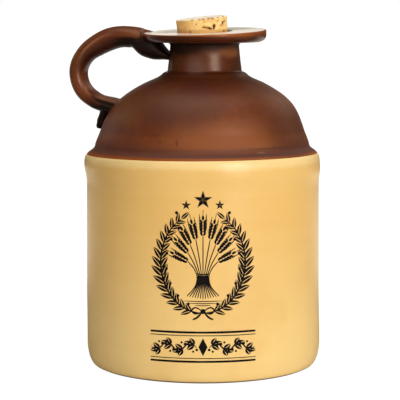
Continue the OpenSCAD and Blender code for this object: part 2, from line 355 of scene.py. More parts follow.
PATCHES += from_neck([
    # Painted light bounced down from the rim onto the neck's upper right.
    [(15, -13, -5), (11, 13, 4.5), (140, 82, 44), 0.8],
    # Painted reflection of a broad soft light, low on the neck's front left.
    [(-5, -19, -14.5), (8.5, 9, 9), (114, 80, 70), 0.7],
    # Painted shadow of the rim, nearly black, on the neck's top at the left.
    [(-14, -14, -2.2), (20, 18, 6.2), (16, 5, 1), 0.95],
    # Painted shade on the neck's right side, low down.
    [(20, -10, -14), (6, 14, 8), (60, 28, 16), 0.6],
    # Painted shade on the rim's face at the left.
    [(-24, -30, 6.5), (26, 18, 6), (58, 28, 14), 0.65],
    # Painted highlight, orange, on the rim's face at the right.
    [(19, -32, 6.6), (26, 17, 4.5), (176, 98, 50), 0.5]])
LINER_PAINTED_SHADOWS = from_neck([
    # Painted shadow of the cork on the liner, behind it to the right.
    [(19, 18, 8.2), (18, 17, 8), (86, 98, 58), 0.95],
    # Painted shadow of the cork on the liner, at its left.
    [(-20, 3, 8.2), (14, 14, 8), (96, 90, 76), 0.85]])


def patch(f, place, reach, clouds):
    """1 in the middle of an uneven oval patch, 0 beyond its reach."""
    shift = f.vector("SUBTRACT", f.place, tuple(v * MM for v in place))
    scaled = f.vector("MULTIPLY", shift, tuple(1 / (v * MM) for v in reach))
    away = f.vector("LENGTH", scaled, out="Value")
    return f.smooth_step(away + 0.5 * (clouds - 0.5), 1.1, 0.35)


print(len(PATCHES), "patches in the brown glaze,", len(LINER_PAINTED_SHADOWS), "in the liner")

# %% [markdown]
# The brown is built up as a potter sees it: its own clouds first, then where it is thin, where it has
# gathered or lies in painted shade, and the patches. Just over the ledge, in the hollow of the shoulder's
# flared foot, painted shade with a plum tint of painted sheen lies in a broad band with a deeper one
# inside it. It fades towards the handle's side.

# %% The colour of the dipped glaze
def dipped_colour(f, clouds, mottle):
    pool = f.attribute("pool")
    olive = f.blotches((30 * MM, 30 * MM, 18 * MM), detail=3, shift=12)
    plum = f.blotches((34 * MM, 34 * MM, 22 * MM), detail=3, shift=21)
    colour = f.mix(as_linear(96, 47, 23), as_linear(112, 58, 31), f.smooth_step(clouds, 0.30, 0.72))
    colour = f.tint(colour, (82, 35, 17), 0.45 * f.smooth_step(mottle, 0.40, 0.70))
    colour = f.tint(colour, (98, 60, 24), 0.55 * f.smooth_step(olive, 0.46, 0.70))
    colour = f.tint(colour, (86, 42, 38), 0.65 * f.smooth_step(plum, 0.46, 0.68))
    colour = f.tint(colour, (146, 72, 12), 0.75 * f.attribute("thin"))
    # Up to 1 this is pooled glaze and painted shade, and from 1 to 1.5 painted shadow that turns black.
    pooled_and_shaded = pool.math("MINIMUM", pool, 1.0)
    colour = f.tint(colour, (52, 14, 2), 0.95 * pooled_and_shaded)
    colour = f.tint(colour, (12, 5, 3), 0.85 * f.smooth_step(pool, 1.0, 1.5))
    for place, reach, tone, share in PATCHES:
        strength = share * patch(f, place, reach, clouds) * (1.0 - 0.5 * pooled_and_shaded)
        colour = f.tint(colour, tone, strength)
    return f.tint(colour, (84, 48, 38), flare_shade_and_sheen(f, clouds))


def flare_shade_and_sheen(f, clouds):
    """How much painted shade, tinted plum by painted sheen, lies in the hollow of the flared foot."""
    above = f.along("Z") - ledge_z + 0.7 * MM * (clouds - 0.5)
    broad = f.smooth_step(above, 8.4 * MM, 5.2 * MM) * f.smooth_step(above, 1.5 * MM, 2.7 * MM)
    deep = f.smooth_step(above, 4.6 * MM, 3.6 * MM) * f.smooth_step(above, 1.6 * MM, 2.8 * MM)
    from_handle = 0.5 + 0.5 * f.smooth_step(f.along("X"), -58 * MM, -15 * MM)
    return (0.62 * broad + 0.40 * deep) * from_handle


print("the dipped glaze has its colours")

# %% [markdown]
# On the rim a pale liner glaze lies over the brown one. The piece's value named liner says where it was
# poured. Noise breaks its edge, and where it runs out it turns orange. Its back half is painted a greyer
# green as shade, and the value named shade and two patches paint the cork's shadow on it, behind the cork
# and beside it.

# %% The liner glaze over it
def poured_liner(f, colour, rough, clouds):
    """The colour, the roughness and the coat of the brown glaze with the pale one over it."""
    edge = f.attribute("liner") + 0.22 * (f.blotches(7 * MM, detail=2, shift=8) - 0.5)
    glazed = f.smooth_step(edge, 0.42, 0.62)
    broken = f.smooth_step(edge, 0.12, 0.50) * (1 - glazed)
    behind = f.smooth_step(f.along("Y"), -8 * MM, 12 * MM)
    painted_cork_shadow = behind * f.attribute("shade")
    pale = f.mix(as_linear(244, 230, 216), as_linear(252, 241, 232), f.blotches(9 * MM, shift=3))
    # Painted shade on the back half, and the cork's painted shadow near the throat at the back.
    pale = f.tint(pale, (222, 228, 214), 0.8 * behind)
    pale = f.tint(pale, (140, 150, 112), 0.8 * painted_cork_shadow)
    for place, reach, tone, share in LINER_PAINTED_SHADOWS:
        pale = f.tint(pale, tone, share * patch(f, place, reach, clouds))
    colour = f.tint(colour, (176, 104, 48), 0.8 * broken)
    colour = f.mix(colour, pale, glazed)
    coat = 0.7 * glazed * (1.0 - 0.5 * painted_cork_shadow)
    return colour, rough * (1 - glazed) + 0.30 * glazed, coat


print("the liner glaze has its colours")

# %% [markdown]
# The finish adds what both glazes share: a fine grain, pale and dark specks of iron, and the gloss. Two
# values of the piece come in here. The first paints a pale highlight down the front of the handle and a
# pale sheen on its inner edge near the root, and is 0 on the other brown pieces. Where shade is more than
# 0 the surface is duller, which keeps lamps from showing in a place where the jug hides them.

# %% Brown glaze of the shoulder, neck, rim and handle
SHEEN = (1.0, 0.70, 0.56, 1.0)


def brown_glaze(name, liner=False):
    f = Finish(name)
    clouds = f.blotches(26 * MM, detail=5, roughness=0.55)
    mottle = f.blotches((4.5 * MM, 4.5 * MM, 3 * MM), detail=5, shift=5)
    grain = f.blotches(0.9 * MM, detail=4, shift=9)
    pale = f.specks(17 * MM, 0.33 * MM, crowd=0.12, shift=1)
    dark = f.specks(7 * MM, 0.32 * MM, crowd=0.3, shift=6)
    colour = dipped_colour(f, clouds, mottle)
    # A pale painted highlight and sheen on the handle, from the value that marks bare clay on the base.
    colour = f.tint(colour, (164, 116, 90), 0.6 * f.attribute("bare"))
    colour = f.shade(colour, 0.93 + 0.14 * grain)
    colour = f.tint(colour, (176, 120, 84), 0.5 * pale)
    colour = f.tint(colour, (48, 20, 14), 0.5 * dark)
    rough = 0.29 + 0.06 * mottle + 0.30 * f.attribute("shade")
    coat = 0.0
    if liner:
        colour, rough, coat = poured_liner(f, colour, rough, clouds)
    f.bump(mottle + 0.6 * grain - 1.2 * dark, 0.03 * MM)
    return f.set(Base_Color=colour, Roughness=rough, IOR=1.5, Specular_IOR_Level=0.5,
                 Specular_Tint=SHEEN, Coat_Weight=coat, Coat_Roughness=0.22)


brown = brown_glaze("Brown glaze")
brown_and_liner = brown_glaze("Brown glaze with pale liner", liner=True)
for glaze in (brown, brown_and_liner):
    print(glaze.name + ":", len(glaze.node_tree.nodes), "nodes")

# %% [markdown]
# The wall, floor, shoulder, neck and rim are all thrown: each is a profile turned round the wheel's axis.
# A Spin or Screw modifier could turn a profile, but thrown clay also has rings from the potter's fingers,
# drifts off the axis as it rises, and here the rim's top was cut a little out of level. A Geometry Nodes
# tree holds that rule with one input for each size. It lays out a grid, gives each row one point of the
# profile and each column one step of the turn, and then adds rings, lean and dip.
#
# The profile comes in as a loose mesh of points at (radius, 0, height). Its points also carry shares:
# ring says how much of the finger rings they get, dip how far they follow the rim's tilted top, and the
# others are handed on to the finishes.

# %% What the wheel is set to
CARRIED = ("pool", "thin", "bare", "liner", "shade")
TURN_STEPS = 256
WHEEL_INPUTS = {
    "Rows": ("NodeSocketInt", 2),
    "Turn steps": ("NodeSocketInt", TURN_STEPS),
    "Ring pitch": ("NodeSocketFloat", 6.5 * MM),
    "Ring depth": ("NodeSocketFloat", 0.10 * MM),
    "Lump size": ("NodeSocketFloat", 30 * MM),
    "Lump depth": ("NodeSocketFloat", 0.16 * MM),
    "Lean": ("NodeSocketFloat", neck_off),
    "Lean from": ("NodeSocketFloat", ledge_z),
    "Lean to": ("NodeSocketFloat", crease_z),
    "Dip to side": ("NodeSocketFloat", math.tan(rim_side_dip)),
    "Dip to front": ("NodeSocketFloat", math.tan(rim_front_dip)),
    "Seed": ("NodeSocketFloat", 4.0),
    "Glaze": ("NodeSocketMaterial", None),
}
print("the wheel takes", len(WHEEL_INPUTS), "settings and carries", CARRIED)

# %% [markdown]
# Each tree starts and ends in the same way, so two helpers do that. A tree takes a geometry and its named
# inputs, and it ends in Realize Instances and Set Material, because an export keeps only real faces.

# %% The start and the end of a tree
def new_tree(name, inputs):
    """An empty Geometry Nodes tree with named inputs. Returns its Kit, input wires and identifiers."""
    tree = bpy.data.node_groups.new(name, "GeometryNodeTree")
    tree.interface.new_socket("Geometry", in_out="INPUT", socket_type="NodeSocketGeometry")
    tree.interface.new_socket("Geometry", in_out="OUTPUT", socket_type="NodeSocketGeometry")
    identifiers = {}
    for label, (kind, value) in inputs.items():
        socket = tree.interface.new_socket(label, in_out="INPUT", socket_type=kind)
        if value is not None:
            socket.default_value = value
        identifiers[label] = socket.identifier
    kit = Kit(tree)
    entry = kit.node("NodeGroupInput")
    wires = {label: entry.out(label) for label in ("Geometry", *inputs)}
    return kit, wires, identifiers


def close_tree(kit, geometry, material):
    """Ends a tree in real geometry with a material on it."""
    real = kit.node("GeometryNodeRealizeInstances", None, {"Geometry": geometry})
    painted = kit.node("GeometryNodeSetMaterial", None, {"Geometry": real, "Material": material})
    end = kit.tree.nodes.new("NodeGroupOutput")
    kit.tree.links.new(painted.socket, end.inputs["Geometry"])


print("trees can be started and ended")

# %% [markdown]
# In the wheel's tree a point of the grid first learns its row and its column. The row picks a point of the
# profile with Sample Index, and the column gives the turn. Two noises push the point in and out for the
# finger rings and the lumps, and then the lean and the dip move it.

# %% The wheel, as a Geometry Nodes tree
def wheel_tree():
    kit, wire, identifiers = new_tree("Thrown on the wheel", WHEEL_INPUTS)
    grid = kit.node("GeometryNodeMeshGrid", None, {
        "Size X": 1.0, "Size Y": 1.0, "Vertices Y": wire["Rows"], "Vertices X": wire["Turn steps"] + 1})
    index = kit.node("GeometryNodeInputIndex")
    row = index.math("MODULO", index, wire["Rows"])
    column = index.math("FLOOR", index / wire["Rows"])
    turn = column / wire["Turn steps"] * (2 * math.pi)

    def from_profile(value, kind):
        return kit.node("GeometryNodeSampleIndex", {"data_type": kind, "domain": "POINT"},
                        {"Geometry": wire["Geometry"], "Value": value, "Index": row})

    def share(name):
        named = kit.node("GeometryNodeInputNamedAttribute", {"data_type": "FLOAT"}, {"Name": name})
        return from_profile(named, "FLOAT")

    point = from_profile(kit.node("GeometryNodeInputPosition"), "FLOAT_VECTOR")
    profile = kit.node("ShaderNodeSeparateXYZ", None, {"Vector": point})
    radius, height = profile.out("X"), profile.out("Z")
    cosine, sine = turn.math("COSINE", turn), turn.math("SINE", turn)

    def lumps(size, detail):
        spot = kit.node("ShaderNodeCombineXYZ", None, {
            "X": radius * cosine / size, "Y": radius * sine / size, "Z": height / size + wire["Seed"]})
        return kit.node("ShaderNodeTexNoise", None, {"Vector": spot, "Scale": 1.0, "Detail": detail})

    ring = share("ring")
    wave = turn.math("SINE", height / wire["Ring pitch"] * (2 * math.pi) + turn)
    rings = (wave * 0.5 - 0.5) * wire["Ring depth"] * lumps(wire["Lump size"], 2.0)
    uneven = (lumps(wire["Lump size"], 1.0) - 1.0) * wire["Lump depth"]
    pushed = radius + ring * (rings + uneven)
    across, deep = pushed * cosine, pushed * sine
    dip = share("dip") * (across * wire["Dip to side"] + deep * wire["Dip to front"])
    lean = wire["Lean"] * kit.smooth_step(height, wire["Lean from"], wire["Lean to"])
    place = kit.node("ShaderNodeCombineXYZ", None, {"X": across + lean, "Y": deep, "Z": height + dip})
    shaped = kit.node("GeometryNodeSetPosition", None, {"Geometry": grid, "Position": place})
    for name in CARRIED:
        shaped = kit.node("GeometryNodeStoreNamedAttribute", {"data_type": "FLOAT", "domain": "POINT"},
                          {"Geometry": shaped, "Name": name, "Value": share(name)})
    closed = kit.node("GeometryNodeMergeByDistance", None, {"Geometry": shaped, "Distance": 0.001 * MM})
    smooth = kit.node("GeometryNodeSetShadeSmooth", None, {"Geometry": closed})
    close_tree(kit, smooth, wire["Glaze"])
    return kit.tree, identifiers


wheel, wheel_ids = wheel_tree()
print("wheel tree:", len(wheel.nodes), "nodes,", len(wheel_ids), "inputs")

# %% [markdown]
# Some forms are easier to move point by point once a tree has run, so a mesh's points go out and in as one
# array. The first such move is the jug's own: it sagged by half a millimetre in the kiln. A clean-up then
# turns the faces outwards, and only edges sharper than a set angle stay sharp in the shading.

# %% Meshes as arrays of points
SHARP = math.radians(38)


def mesh_points(mesh):
    flat = np.empty(len(mesh.vertices) * 3)
    mesh.vertices.foreach_get("co", flat)
    return flat.reshape(-1, 3)


def set_points(mesh, points):
    mesh.vertices.foreach_set("co", points.astype(np.float32).ravel())
    mesh.update()


def rise(value, low, high):
    """0 at low, 1 at high and a soft rise between."""
    t = np.clip((value - low) / (high - low), 0, 1)
    return t * t * (3 - 2 * t)


def settled(points):
    """Where each point of a true jug lies on the fired one, which sagged by half a millimetre."""
    x, y, z = points.T
    by_foot = 1 - rise(z, 14 * MM, 50 * MM)
    by_ledge = rise(z, ledge_z - 13 * MM, ledge_z - 4 * MM)
    by_ledge *= 1 - rise(z, ledge_z + 15 * MM, ledge_z + 34 * MM)
    aslant = rise(z, ledge_z - 12 * MM, ledge_z - 3 * MM)
    aslant *= 1 - rise(z, ledge_z + 6 * MM, ledge_z + 18 * MM)
    moved_x = x + 0.4 * MM * by_foot - 0.5 * MM * by_ledge
    return np.stack([moved_x, y, z + aslant * (0.006 * x - 0.0107 * y)], axis=1)


def clean_mesh(mesh, sharp=SHARP):
    """Closes doubles, turns the faces outwards and shades the mesh smooth."""
    work = bmesh.new()
    work.from_mesh(mesh)
    bmesh.ops.remove_doubles(work, verts=work.verts, dist=0.0005 * MM)
    bmesh.ops.recalc_face_normals(work, faces=work.faces)
    open_edges = sum(1 for e in work.edges if not e.is_manifold)
    work.to_mesh(mesh)
    work.free()
    mesh.shade_smooth()
    mesh.set_sharp_from_angle(angle=sharp)
    return open_edges


print("edges sharper than", round(math.degrees(SHARP)), "degrees stay sharp")

# %% [markdown]
# Turning a tree's result into a plain mesh takes three steps that every piece shares: read the object as
# its modifiers leave it, copy that into a new mesh, and drop the old object. A modifier's inputs are set
# by the identifiers of their sockets, because their names aren't keys. Throwing a piece is then one call:
# its profile goes in as a loose mesh with its shares, and a settled plain mesh comes out.

# %% From a profile to a clay piece
def as_plain(obj, name, sharp=SHARP):
    """The object as its modifiers leave it, as a plain mesh object with a new name."""
    ready = obj.evaluated_get(bpy.context.evaluated_depsgraph_get())
    mesh = bpy.data.meshes.new_from_object(ready)
    mesh.name = name
    bpy.data.objects.remove(obj)
    piece = add_object(name, mesh)
    open_edges = clean_mesh(mesh, sharp)
    print(f"{name}: {len(mesh.vertices)} points, {open_edges} open edges")
    return piece


def with_tree(mesh, tree, identifiers, values):
    """A new object of this mesh under a Geometry Nodes tree whose inputs have these values."""
    obj = add_object(mesh.name, mesh)
    nodes = obj.modifiers.new("Nodes", "NODES")
    nodes.node_group = tree
    for label, value in values.items():
        nodes[identifiers[label]] = value
    obj.update_tag()
    bpy.context.view_layer.update()
    return obj


def throw(name, profile, glaze, **inputs):
    """Turns a profile on the wheel. A row of it is [radius, height, ring, dip, then what is carried]."""
    rows = np.array(profile)
    mesh = bpy.data.meshes.new(name + "_profile")
    mesh.from_pydata([(r, 0, z) for r, z in rows[:, :2]], [], [])
    for column, label in enumerate(("ring", "dip", *CARRIED), start=2):
        values = mesh.attributes.new(label, "FLOAT", "POINT").data
        values.foreach_set("value", rows[:, column].astype(np.float32))
    values = {"Rows": len(rows), "Glaze": glaze, **inputs}
    piece = as_plain(with_tree(mesh, wheel, wheel_ids, values), name)
    set_points(piece.data, settled(mesh_points(piece.data)))
    return piece


print("ready to throw")

# %% [markdown]
# A profile is drawn from a few kinds of stretch: a Bezier curve with two pull points, a straight line, and
# a corner softened by a small round, because no edge of fired clay is sharp. Each stretch is cut into
# steps of about a millimetre where finger rings have to show, and coarser inside the jug.

# %% Stretches of a profile
def bezier(a, b, c, d, steps=24):
    a, b, c, d = (np.array(p, float) for p in (a, b, c, d))
    t = np.linspace(0, 1, steps + 1)[:, None]
    return (1 - t) ** 3 * a + 3 * (1 - t) ** 2 * t * b + 3 * (1 - t) * t ** 2 * c + t ** 3 * d


def softened(points, radius, steps=5):
    """The same polyline with its inner corners rounded off. radius is one number or one for each point."""
    points = [np.array(p, float) for p in points]
    radii = [radius] * len(points) if isinstance(radius, (int, float)) else radius
    made = [points[0]]
    for before, corner, after, r in zip(points, points[1:], points[2:], radii[1:]):
        back = (before - corner) / np.linalg.norm(before - corner)
        on = (after - corner) / np.linalg.norm(after - corner)
        half = math.acos(np.clip(back @ on, -1, 1)) / 2
        room = 0.45 * min(np.linalg.norm(before - corner), np.linalg.norm(after - corner))
        cut = min(r / max(math.tan(half), 0.05), room)
        made += list(bezier(corner + back * cut, corner + back * cut * 0.45,
                            corner + on * cut * 0.45, corner + on * cut, steps))
    return np.array([*made, points[-1]])


def evenly(points, step):
    """The polyline cut into even steps of about this length, with its ends kept."""
    points = np.array(points, float)
    run = np.concatenate([[0], np.cumsum(np.linalg.norm(np.diff(points, axis=0), axis=1))])
    marks = np.linspace(0, run[-1], max(2, round(run[-1] / step) + 1))
    return np.stack([np.interp(marks, run, points[:, k]) for k in (0, 1)], axis=1)


def inside_of(points, t):
    """The curve moved by t towards the inside of the jug."""
    along = np.gradient(points, axis=0)
    along /= np.linalg.norm(along, axis=1, keepdims=True)
    return points + t * np.stack([-along[:, 1], along[:, 0]], axis=1)


def joined(*stretches):
    """Stretches in a row, without the points that two of them share."""
    points = np.concatenate(stretches)
    keep = np.concatenate([[True], np.linalg.norm(np.diff(points, axis=0), axis=1) > 0.004 * MM])
    return points[keep]


def with_shares(points, **shares):
    """Adds the shares to a profile: each is a number or a function of radius and height."""
    r, z = points[:, 0], points[:, 1]
    columns = [r, z]
    for label in ("ring", "dip", *CARRIED):
        given = shares.get(label, 0.0)
        columns.append(given(r, z) if callable(given) else np.full(len(r), float(given)))
    return np.stack(columns, axis=1)


def hump(value, middle_value, width):
    """1 at the middle value and a smooth fall to 0 on both sides."""
    return np.exp(-((value - middle_value) / width) ** 2)


RING_STEP = 1.0 * MM
COARSE_STEP = 4.0 * MM
print("profile steps", RING_STEP / MM, "and", COARSE_STEP / MM, "mm")

# %% [markdown]
# The crock starts as a flat slab with a foot ring, on which the wall stands. The two meet inside the
# rounded heel, where the glaze runs over both, so both pieces take the same heel curve and end on the same
# point of it. The potter wipes the glaze off the foot, or the jug would stick to the kiln shelf.

# %% The base slab and the crock wall
def heel(turn):
    return np.stack([foot_r + heel_w * np.sin(turn), heel_h * (1 - np.cos(turn))], axis=-1)


joint_turn = math.acos(1 - floor_z / heel_h)
foot_edge = 0.8 * MM
wiped_z = 1.1 * MM


def bare_share(r, z):
    return 1 - rise(z, wiped_z * 0.4, wiped_z * 1.6) * (r > foot_r - 2 * foot_edge)


foot_inner_r = foot_r - foot_ring_w
foot = softened([(foot_inner_r - 4 * foot_recess, foot_recess), (foot_inner_r - foot_recess, foot_recess),
                 (foot_inner_r, 0), (foot_r, 0), heel(0.35)], foot_edge)
base_profile = joined([(0, foot_recess)], foot, heel(np.linspace(0.4, joint_turn, 16)),
                      evenly([heel(joint_turn), (0, floor_z)], COARSE_STEP))
base = throw("base_slab_glazed", with_shares(base_profile, bare=bare_share), cream)

bead_foot = (body_r, ledge_z - bead_h)
bead_peak = (body_r + bead_out, ledge_z - 0.38 * bead_h)
bead = joined(
    bezier(bead_foot, (body_r, bead_foot[1] + 0.35 * (bead_peak[1] - bead_foot[1])),
           (bead_peak[0], bead_foot[1] + 0.65 * (bead_peak[1] - bead_foot[1])), bead_peak),
    bezier(bead_peak, (bead_peak[0], bead_peak[1] + 0.5 * (ledge_z - bead_peak[1])),
           (0.3 * ledge_r + 0.7 * bead_peak[0], ledge_z - 0.6 * MM), (ledge_r, ledge_z)))
corner_turns = np.linspace(math.pi / 2, 0, 9)
inner_line = [(ledge_r - wall_t, ledge_z), (body_r - wall_t, ledge_z - bead_h),
              (base_r - wall_t, floor_z + floor_fillet)]
wall_inside = joined(
    evenly(inner_line, COARSE_STEP),
    np.stack([base_r - wall_t - floor_fillet * (1 - np.sin(corner_turns)),
              floor_z + floor_fillet * (1 - np.cos(corner_turns))], axis=1))
wall_outside = joined(heel(np.linspace(joint_turn, math.pi / 2, 14)),
                      evenly([(base_r, heel_h), bead_foot], RING_STEP), evenly(bead, RING_STEP * 0.8))
wall_profile = joined(wall_outside, wall_inside, [wall_outside[0]])


def wall_rings(r, z):
    fade = rise(z, 20 * MM, 34 * MM) * (1 - rise(z, ledge_z - 5 * MM, ledge_z - 1 * MM))
    return fade * (r > body_r - 0.5 * wall_t)


wall = throw("crock_wall_glazed", with_shares(wall_profile, ring=wall_rings), cream,
             **{"Ring depth": 0.05 * MM, "Lump depth": 0.10 * MM})

# %% [markdown]
# The shoulder is thrown as a dome with a flared foot and luted to the wall. Its brown glaze is dipped, so
# it ends in a crisp line at the ledge, thins to orange just above that line, pools in the hollow of the
# flare and again in the crease where the neck begins. High on the dome it is painted darker as shade under
# the rim. The potter's palm pressed the dome in by less than a millimetre, most of all near the neck.

# %% The shoulder
flare = bezier((ledge_r, ledge_z), (ledge_r - 0.2 * dome_in, ledge_z + 0.34 * flare_h),
               (dome_r, ledge_z + 0.46 * flare_h), (dome_r, ledge_z + flare_h))
neck_foot_r = neck_base_r + neck_fillet
dome_h = crease_z - ledge_z - flare_h
dome = bezier((dome_r, ledge_z + flare_h),
              (neck_foot_r + (dome_r - neck_foot_r) * 0.82, ledge_z + flare_h + dome_h * 0.593),
              (neck_foot_r + (dome_r - neck_foot_r) * 0.708, ledge_z + flare_h + dome_h * 0.679),
              (neck_foot_r, crease_z), 60)
dome = evenly(dome, RING_STEP)
palmed = 0.45 * MM + 0.45 * MM * hump(dome[:, 0], neck_foot_r + 5.6 * MM, 4.5 * MM)
palmed *= rise(dome[:, 0], neck_foot_r, neck_foot_r + 4 * MM)
palmed *= rise(dome[:, 1], dome[0, 1], dome[0, 1] + 9 * MM)
shoulder_outside = joined(evenly(flare, 0.6 * MM), inside_of(dome, palmed[:, None]))
shoulder_inside = inside_of(shoulder_outside, wall_t)
in_wall = (shoulder_inside[:, 1] > ledge_z) & (shoulder_inside[:, 0] > bore_r)
shoulder_inside = shoulder_inside[in_wall][::-1]
shoulder_profile = joined(
    shoulder_outside, [(bore_r, crease_z)], [(bore_r, shoulder_inside[0][1])],
    evenly(shoulder_inside, COARSE_STEP), [(ledge_r - wall_t, ledge_z)], [shoulder_outside[0]])


# Glaze pools in the flare's hollow and the crease; the rise high on the dome is painted shade under the
# rim.
def shoulder_pool_and_shade(r, z):
    in_hollows = 0.2 * hump(z, ledge_z + 3.0 * MM, 1.5 * MM) + 0.22 * hump(z, crease_z, 1.4 * MM)
    return in_hollows + 0.50 * rise(z, crease_z - 21 * MM, crease_z - 5 * MM)


def shoulder_thin(r, z):
    on_ledge = 1.2 * hump(z, ledge_z + 0.4 * MM, 1.2 * MM)
    on_dome = 0.22 * hump(z, ledge_z + 12 * MM, 6 * MM)
    return (on_ledge + on_dome) * (r > ledge_r - wall_t / 2 - dome_in)


def shoulder_shade(r, z):
    return 1 - 0.62 * rise(z, ledge_z + 7 * MM, ledge_z + 12 * MM)


def shoulder_rings(r, z):
    return rise(z, dome[0, 1], dome[0, 1] + 8 * MM) * (1 - rise(z, crease_z - 6 * MM, crease_z))


shoulder = throw("shoulder_dome_glazed",
                 with_shares(shoulder_profile, pool=shoulder_pool_and_shade, thin=shoulder_thin,
                             shade=shoulder_shade, ring=shoulder_rings), brown)

# %% [markdown]
# The neck is a short collar. Its foot and its top flare into the shoulder and the rim, as the potter's
# finger leaves them when the joints are smoothed with slip.

# %% The neck collar
neck_top_round = 1.4 * MM
neck_outside = joined(
    bezier((neck_foot_r, crease_z), (neck_base_r + 0.3 * neck_fillet, crease_z),
           (neck_base_r, crease_z + 0.5 * neck_fillet), (neck_base_r, crease_z + 1.5 * neck_fillet), 10),
    evenly([(neck_base_r, crease_z + 1.5 * neck_fillet), (neck_top_r, neck_z - neck_top_round)], 0.7 * MM),
    bezier((neck_top_r, neck_z - neck_top_round), (neck_top_r, neck_z - 0.4 * neck_top_round),
           (neck_top_r + 0.4 * neck_top_round, neck_z), (neck_top_r + neck_top_round, neck_z), 8))
neck_bore = evenly([(bore_r, neck_z), (bore_r, crease_z)], COARSE_STEP)
neck_profile = joined(neck_outside, neck_bore, [neck_outside[0]])


# A darker brown all over, glaze pooled in the crease, and painted shadow of the rim under its edge.
def neck_pool_and_shade(r, z):
    under_rim = rise(z, neck_z - 5.6 * MM, neck_z - 0.4 * MM)
    return 0.28 + 0.3 * hump(z, crease_z, 1.2 * MM) + 1.15 * under_rim


def neck_shade(r, z):
    return rise(z, neck_z - 7.5 * MM, neck_z - 3.5 * MM)


def neck_rings(r, z):
    return 0.8 * rise(z, crease_z + 3 * MM, crease_z + 6 * MM) * (z < neck_z - 2 * MM)


neck = throw("neck_collar_glazed",
             with_shares(neck_profile, pool=neck_pool_and_shade, shade=neck_shade, ring=neck_rings),
             brown, **{"Ring pitch": 4.2 * MM})

# %% [markdown]
# The rim is a saucer: a shallow dish with a rounded outer edge. The pale liner glaze was poured through
# the mouth and over the dish, and the brown glaze was brushed on afterwards as far as the lip, where it
# breaks to orange. Its top was cut out of level, so the points of the top take a dip of 1 and the
# underside 0.

# %% The saucer rim
rim_round_w = 6 * MM
rim_rise = 0.5 * MM
rim_face_z = mouth_z - 1.8 * MM
rim_top_z = mouth_z + 0.4 * MM
lip_w = 1.4 * MM
lip_round = 1.3 * MM
dish_depth = 0.1 * MM
throat_w = 0.6 * MM
throat_depth = 0.8 * MM
throat_r = bore_r + throat_w
dish_w = rim_r - lip_w - throat_r
underside = joined(
    evenly([(neck_top_r + neck_top_round, neck_z), (rim_r - rim_round_w, neck_z + rim_rise)], RING_STEP),
    bezier((rim_r - rim_round_w, neck_z + rim_rise), (rim_r - 0.5 * rim_round_w, neck_z + rim_rise),
           (rim_r - 0.04 * rim_round_w, rim_face_z - 2.9 * MM), (rim_r, rim_face_z), 16))
dish_z = rim_top_z - dish_depth
lip = softened([(rim_r, rim_face_z), (rim_r, rim_top_z), (rim_r - lip_w, rim_top_z),
                (rim_r - lip_w - 0.15 * dish_w, rim_top_z - 0.5 * dish_depth),
                (throat_r + 0.3 * dish_w, dish_z)], [0, lip_round, lip_round, 2 * MM, 0], 8)
throat = bezier((throat_r + 0.1 * dish_w, dish_z), (throat_r, dish_z),
                (bore_r, dish_z - 0.3 * throat_depth), (bore_r, dish_z - throat_depth), 8)
rim_profile = joined(underside, lip, evenly([lip[-1], throat[0]], RING_STEP), throat,
                     evenly([throat[-1], (bore_r, neck_z)], COARSE_STEP), [underside[0]])


def liner_share(r, z):
    top = rise(z, rim_top_z - 1.6 * MM, rim_top_z - 0.7 * MM)
    return np.maximum(top * (1 - rise(r, rim_r - 2.0 * MM, rim_r)), r <= throat_r)


def rim_dip(r, z):
    return np.where(r > throat_r + 0.3 * dish_w, rise(z, rim_face_z - 1 * MM, rim_top_z - 0.6 * MM),
                    np.clip((z - neck_z) / (dish_z - neck_z), 0, 1))


# The rim's face and underside are painted dark as shade under the lip.
def rim_pool_and_shade(r, z):
    return 0.1 + 0.65 * (1 - rise(z, rim_face_z - 1.2 * MM, rim_top_z - 0.6 * MM))


def rim_thin(r, z):
    return 1.2 * hump(np.hypot(r - rim_r, z - rim_top_z + 1 * MM), 0, 2.0 * MM)


def rim_shade(r, z):
    return 1 - rise(r, throat_r, throat_r + 11 * MM)


def rim_rings(r, z):
    return 0.5 * rise(r, 0.7 * rim_r, rim_r)


rim = throw("pour_rim_glazed",
            with_shares(rim_profile, dip=rim_dip, liner=liner_share, ring=rim_rings, pool=rim_pool_and_shade,
                        thin=rim_thin, shade=rim_shade),
            brown_and_liner, **{"Lump size": 14 * MM, "Lump depth": 0.5 * MM})

# %% [markdown]
# The handle was pulled from a lump of clay by hand, bent into a loop while wet and pressed on at both
# ends. No circle or straight line fits it: it swells at the crown, wraps the rim's edge, and ends in a
# tongue of clay on the neck. It's a loft through stations like those of the solid, in finer steps. The
# strap and the tail under its lower joint are then joined by a voxel remesh and smoothed, which makes the
# soft webs that wet clay makes.

# %% Stations of the strap and of its tail
handle_turn = math.radians(-13)
strap_t = 10.2 * MM
strap_w = 18.4 * MM
reach_out = 78.1 * MM
root_z = ledge_z + 27.6 * MM
crown_z = mouth_z - 3 * MM
wad_l = 12.6 * MM
wad_t = 4.2 * MM
wad_w = 13 * MM
wad_tilt = math.radians(70)
SQUARENESS = 0.88
STRAP_STEPS = 8
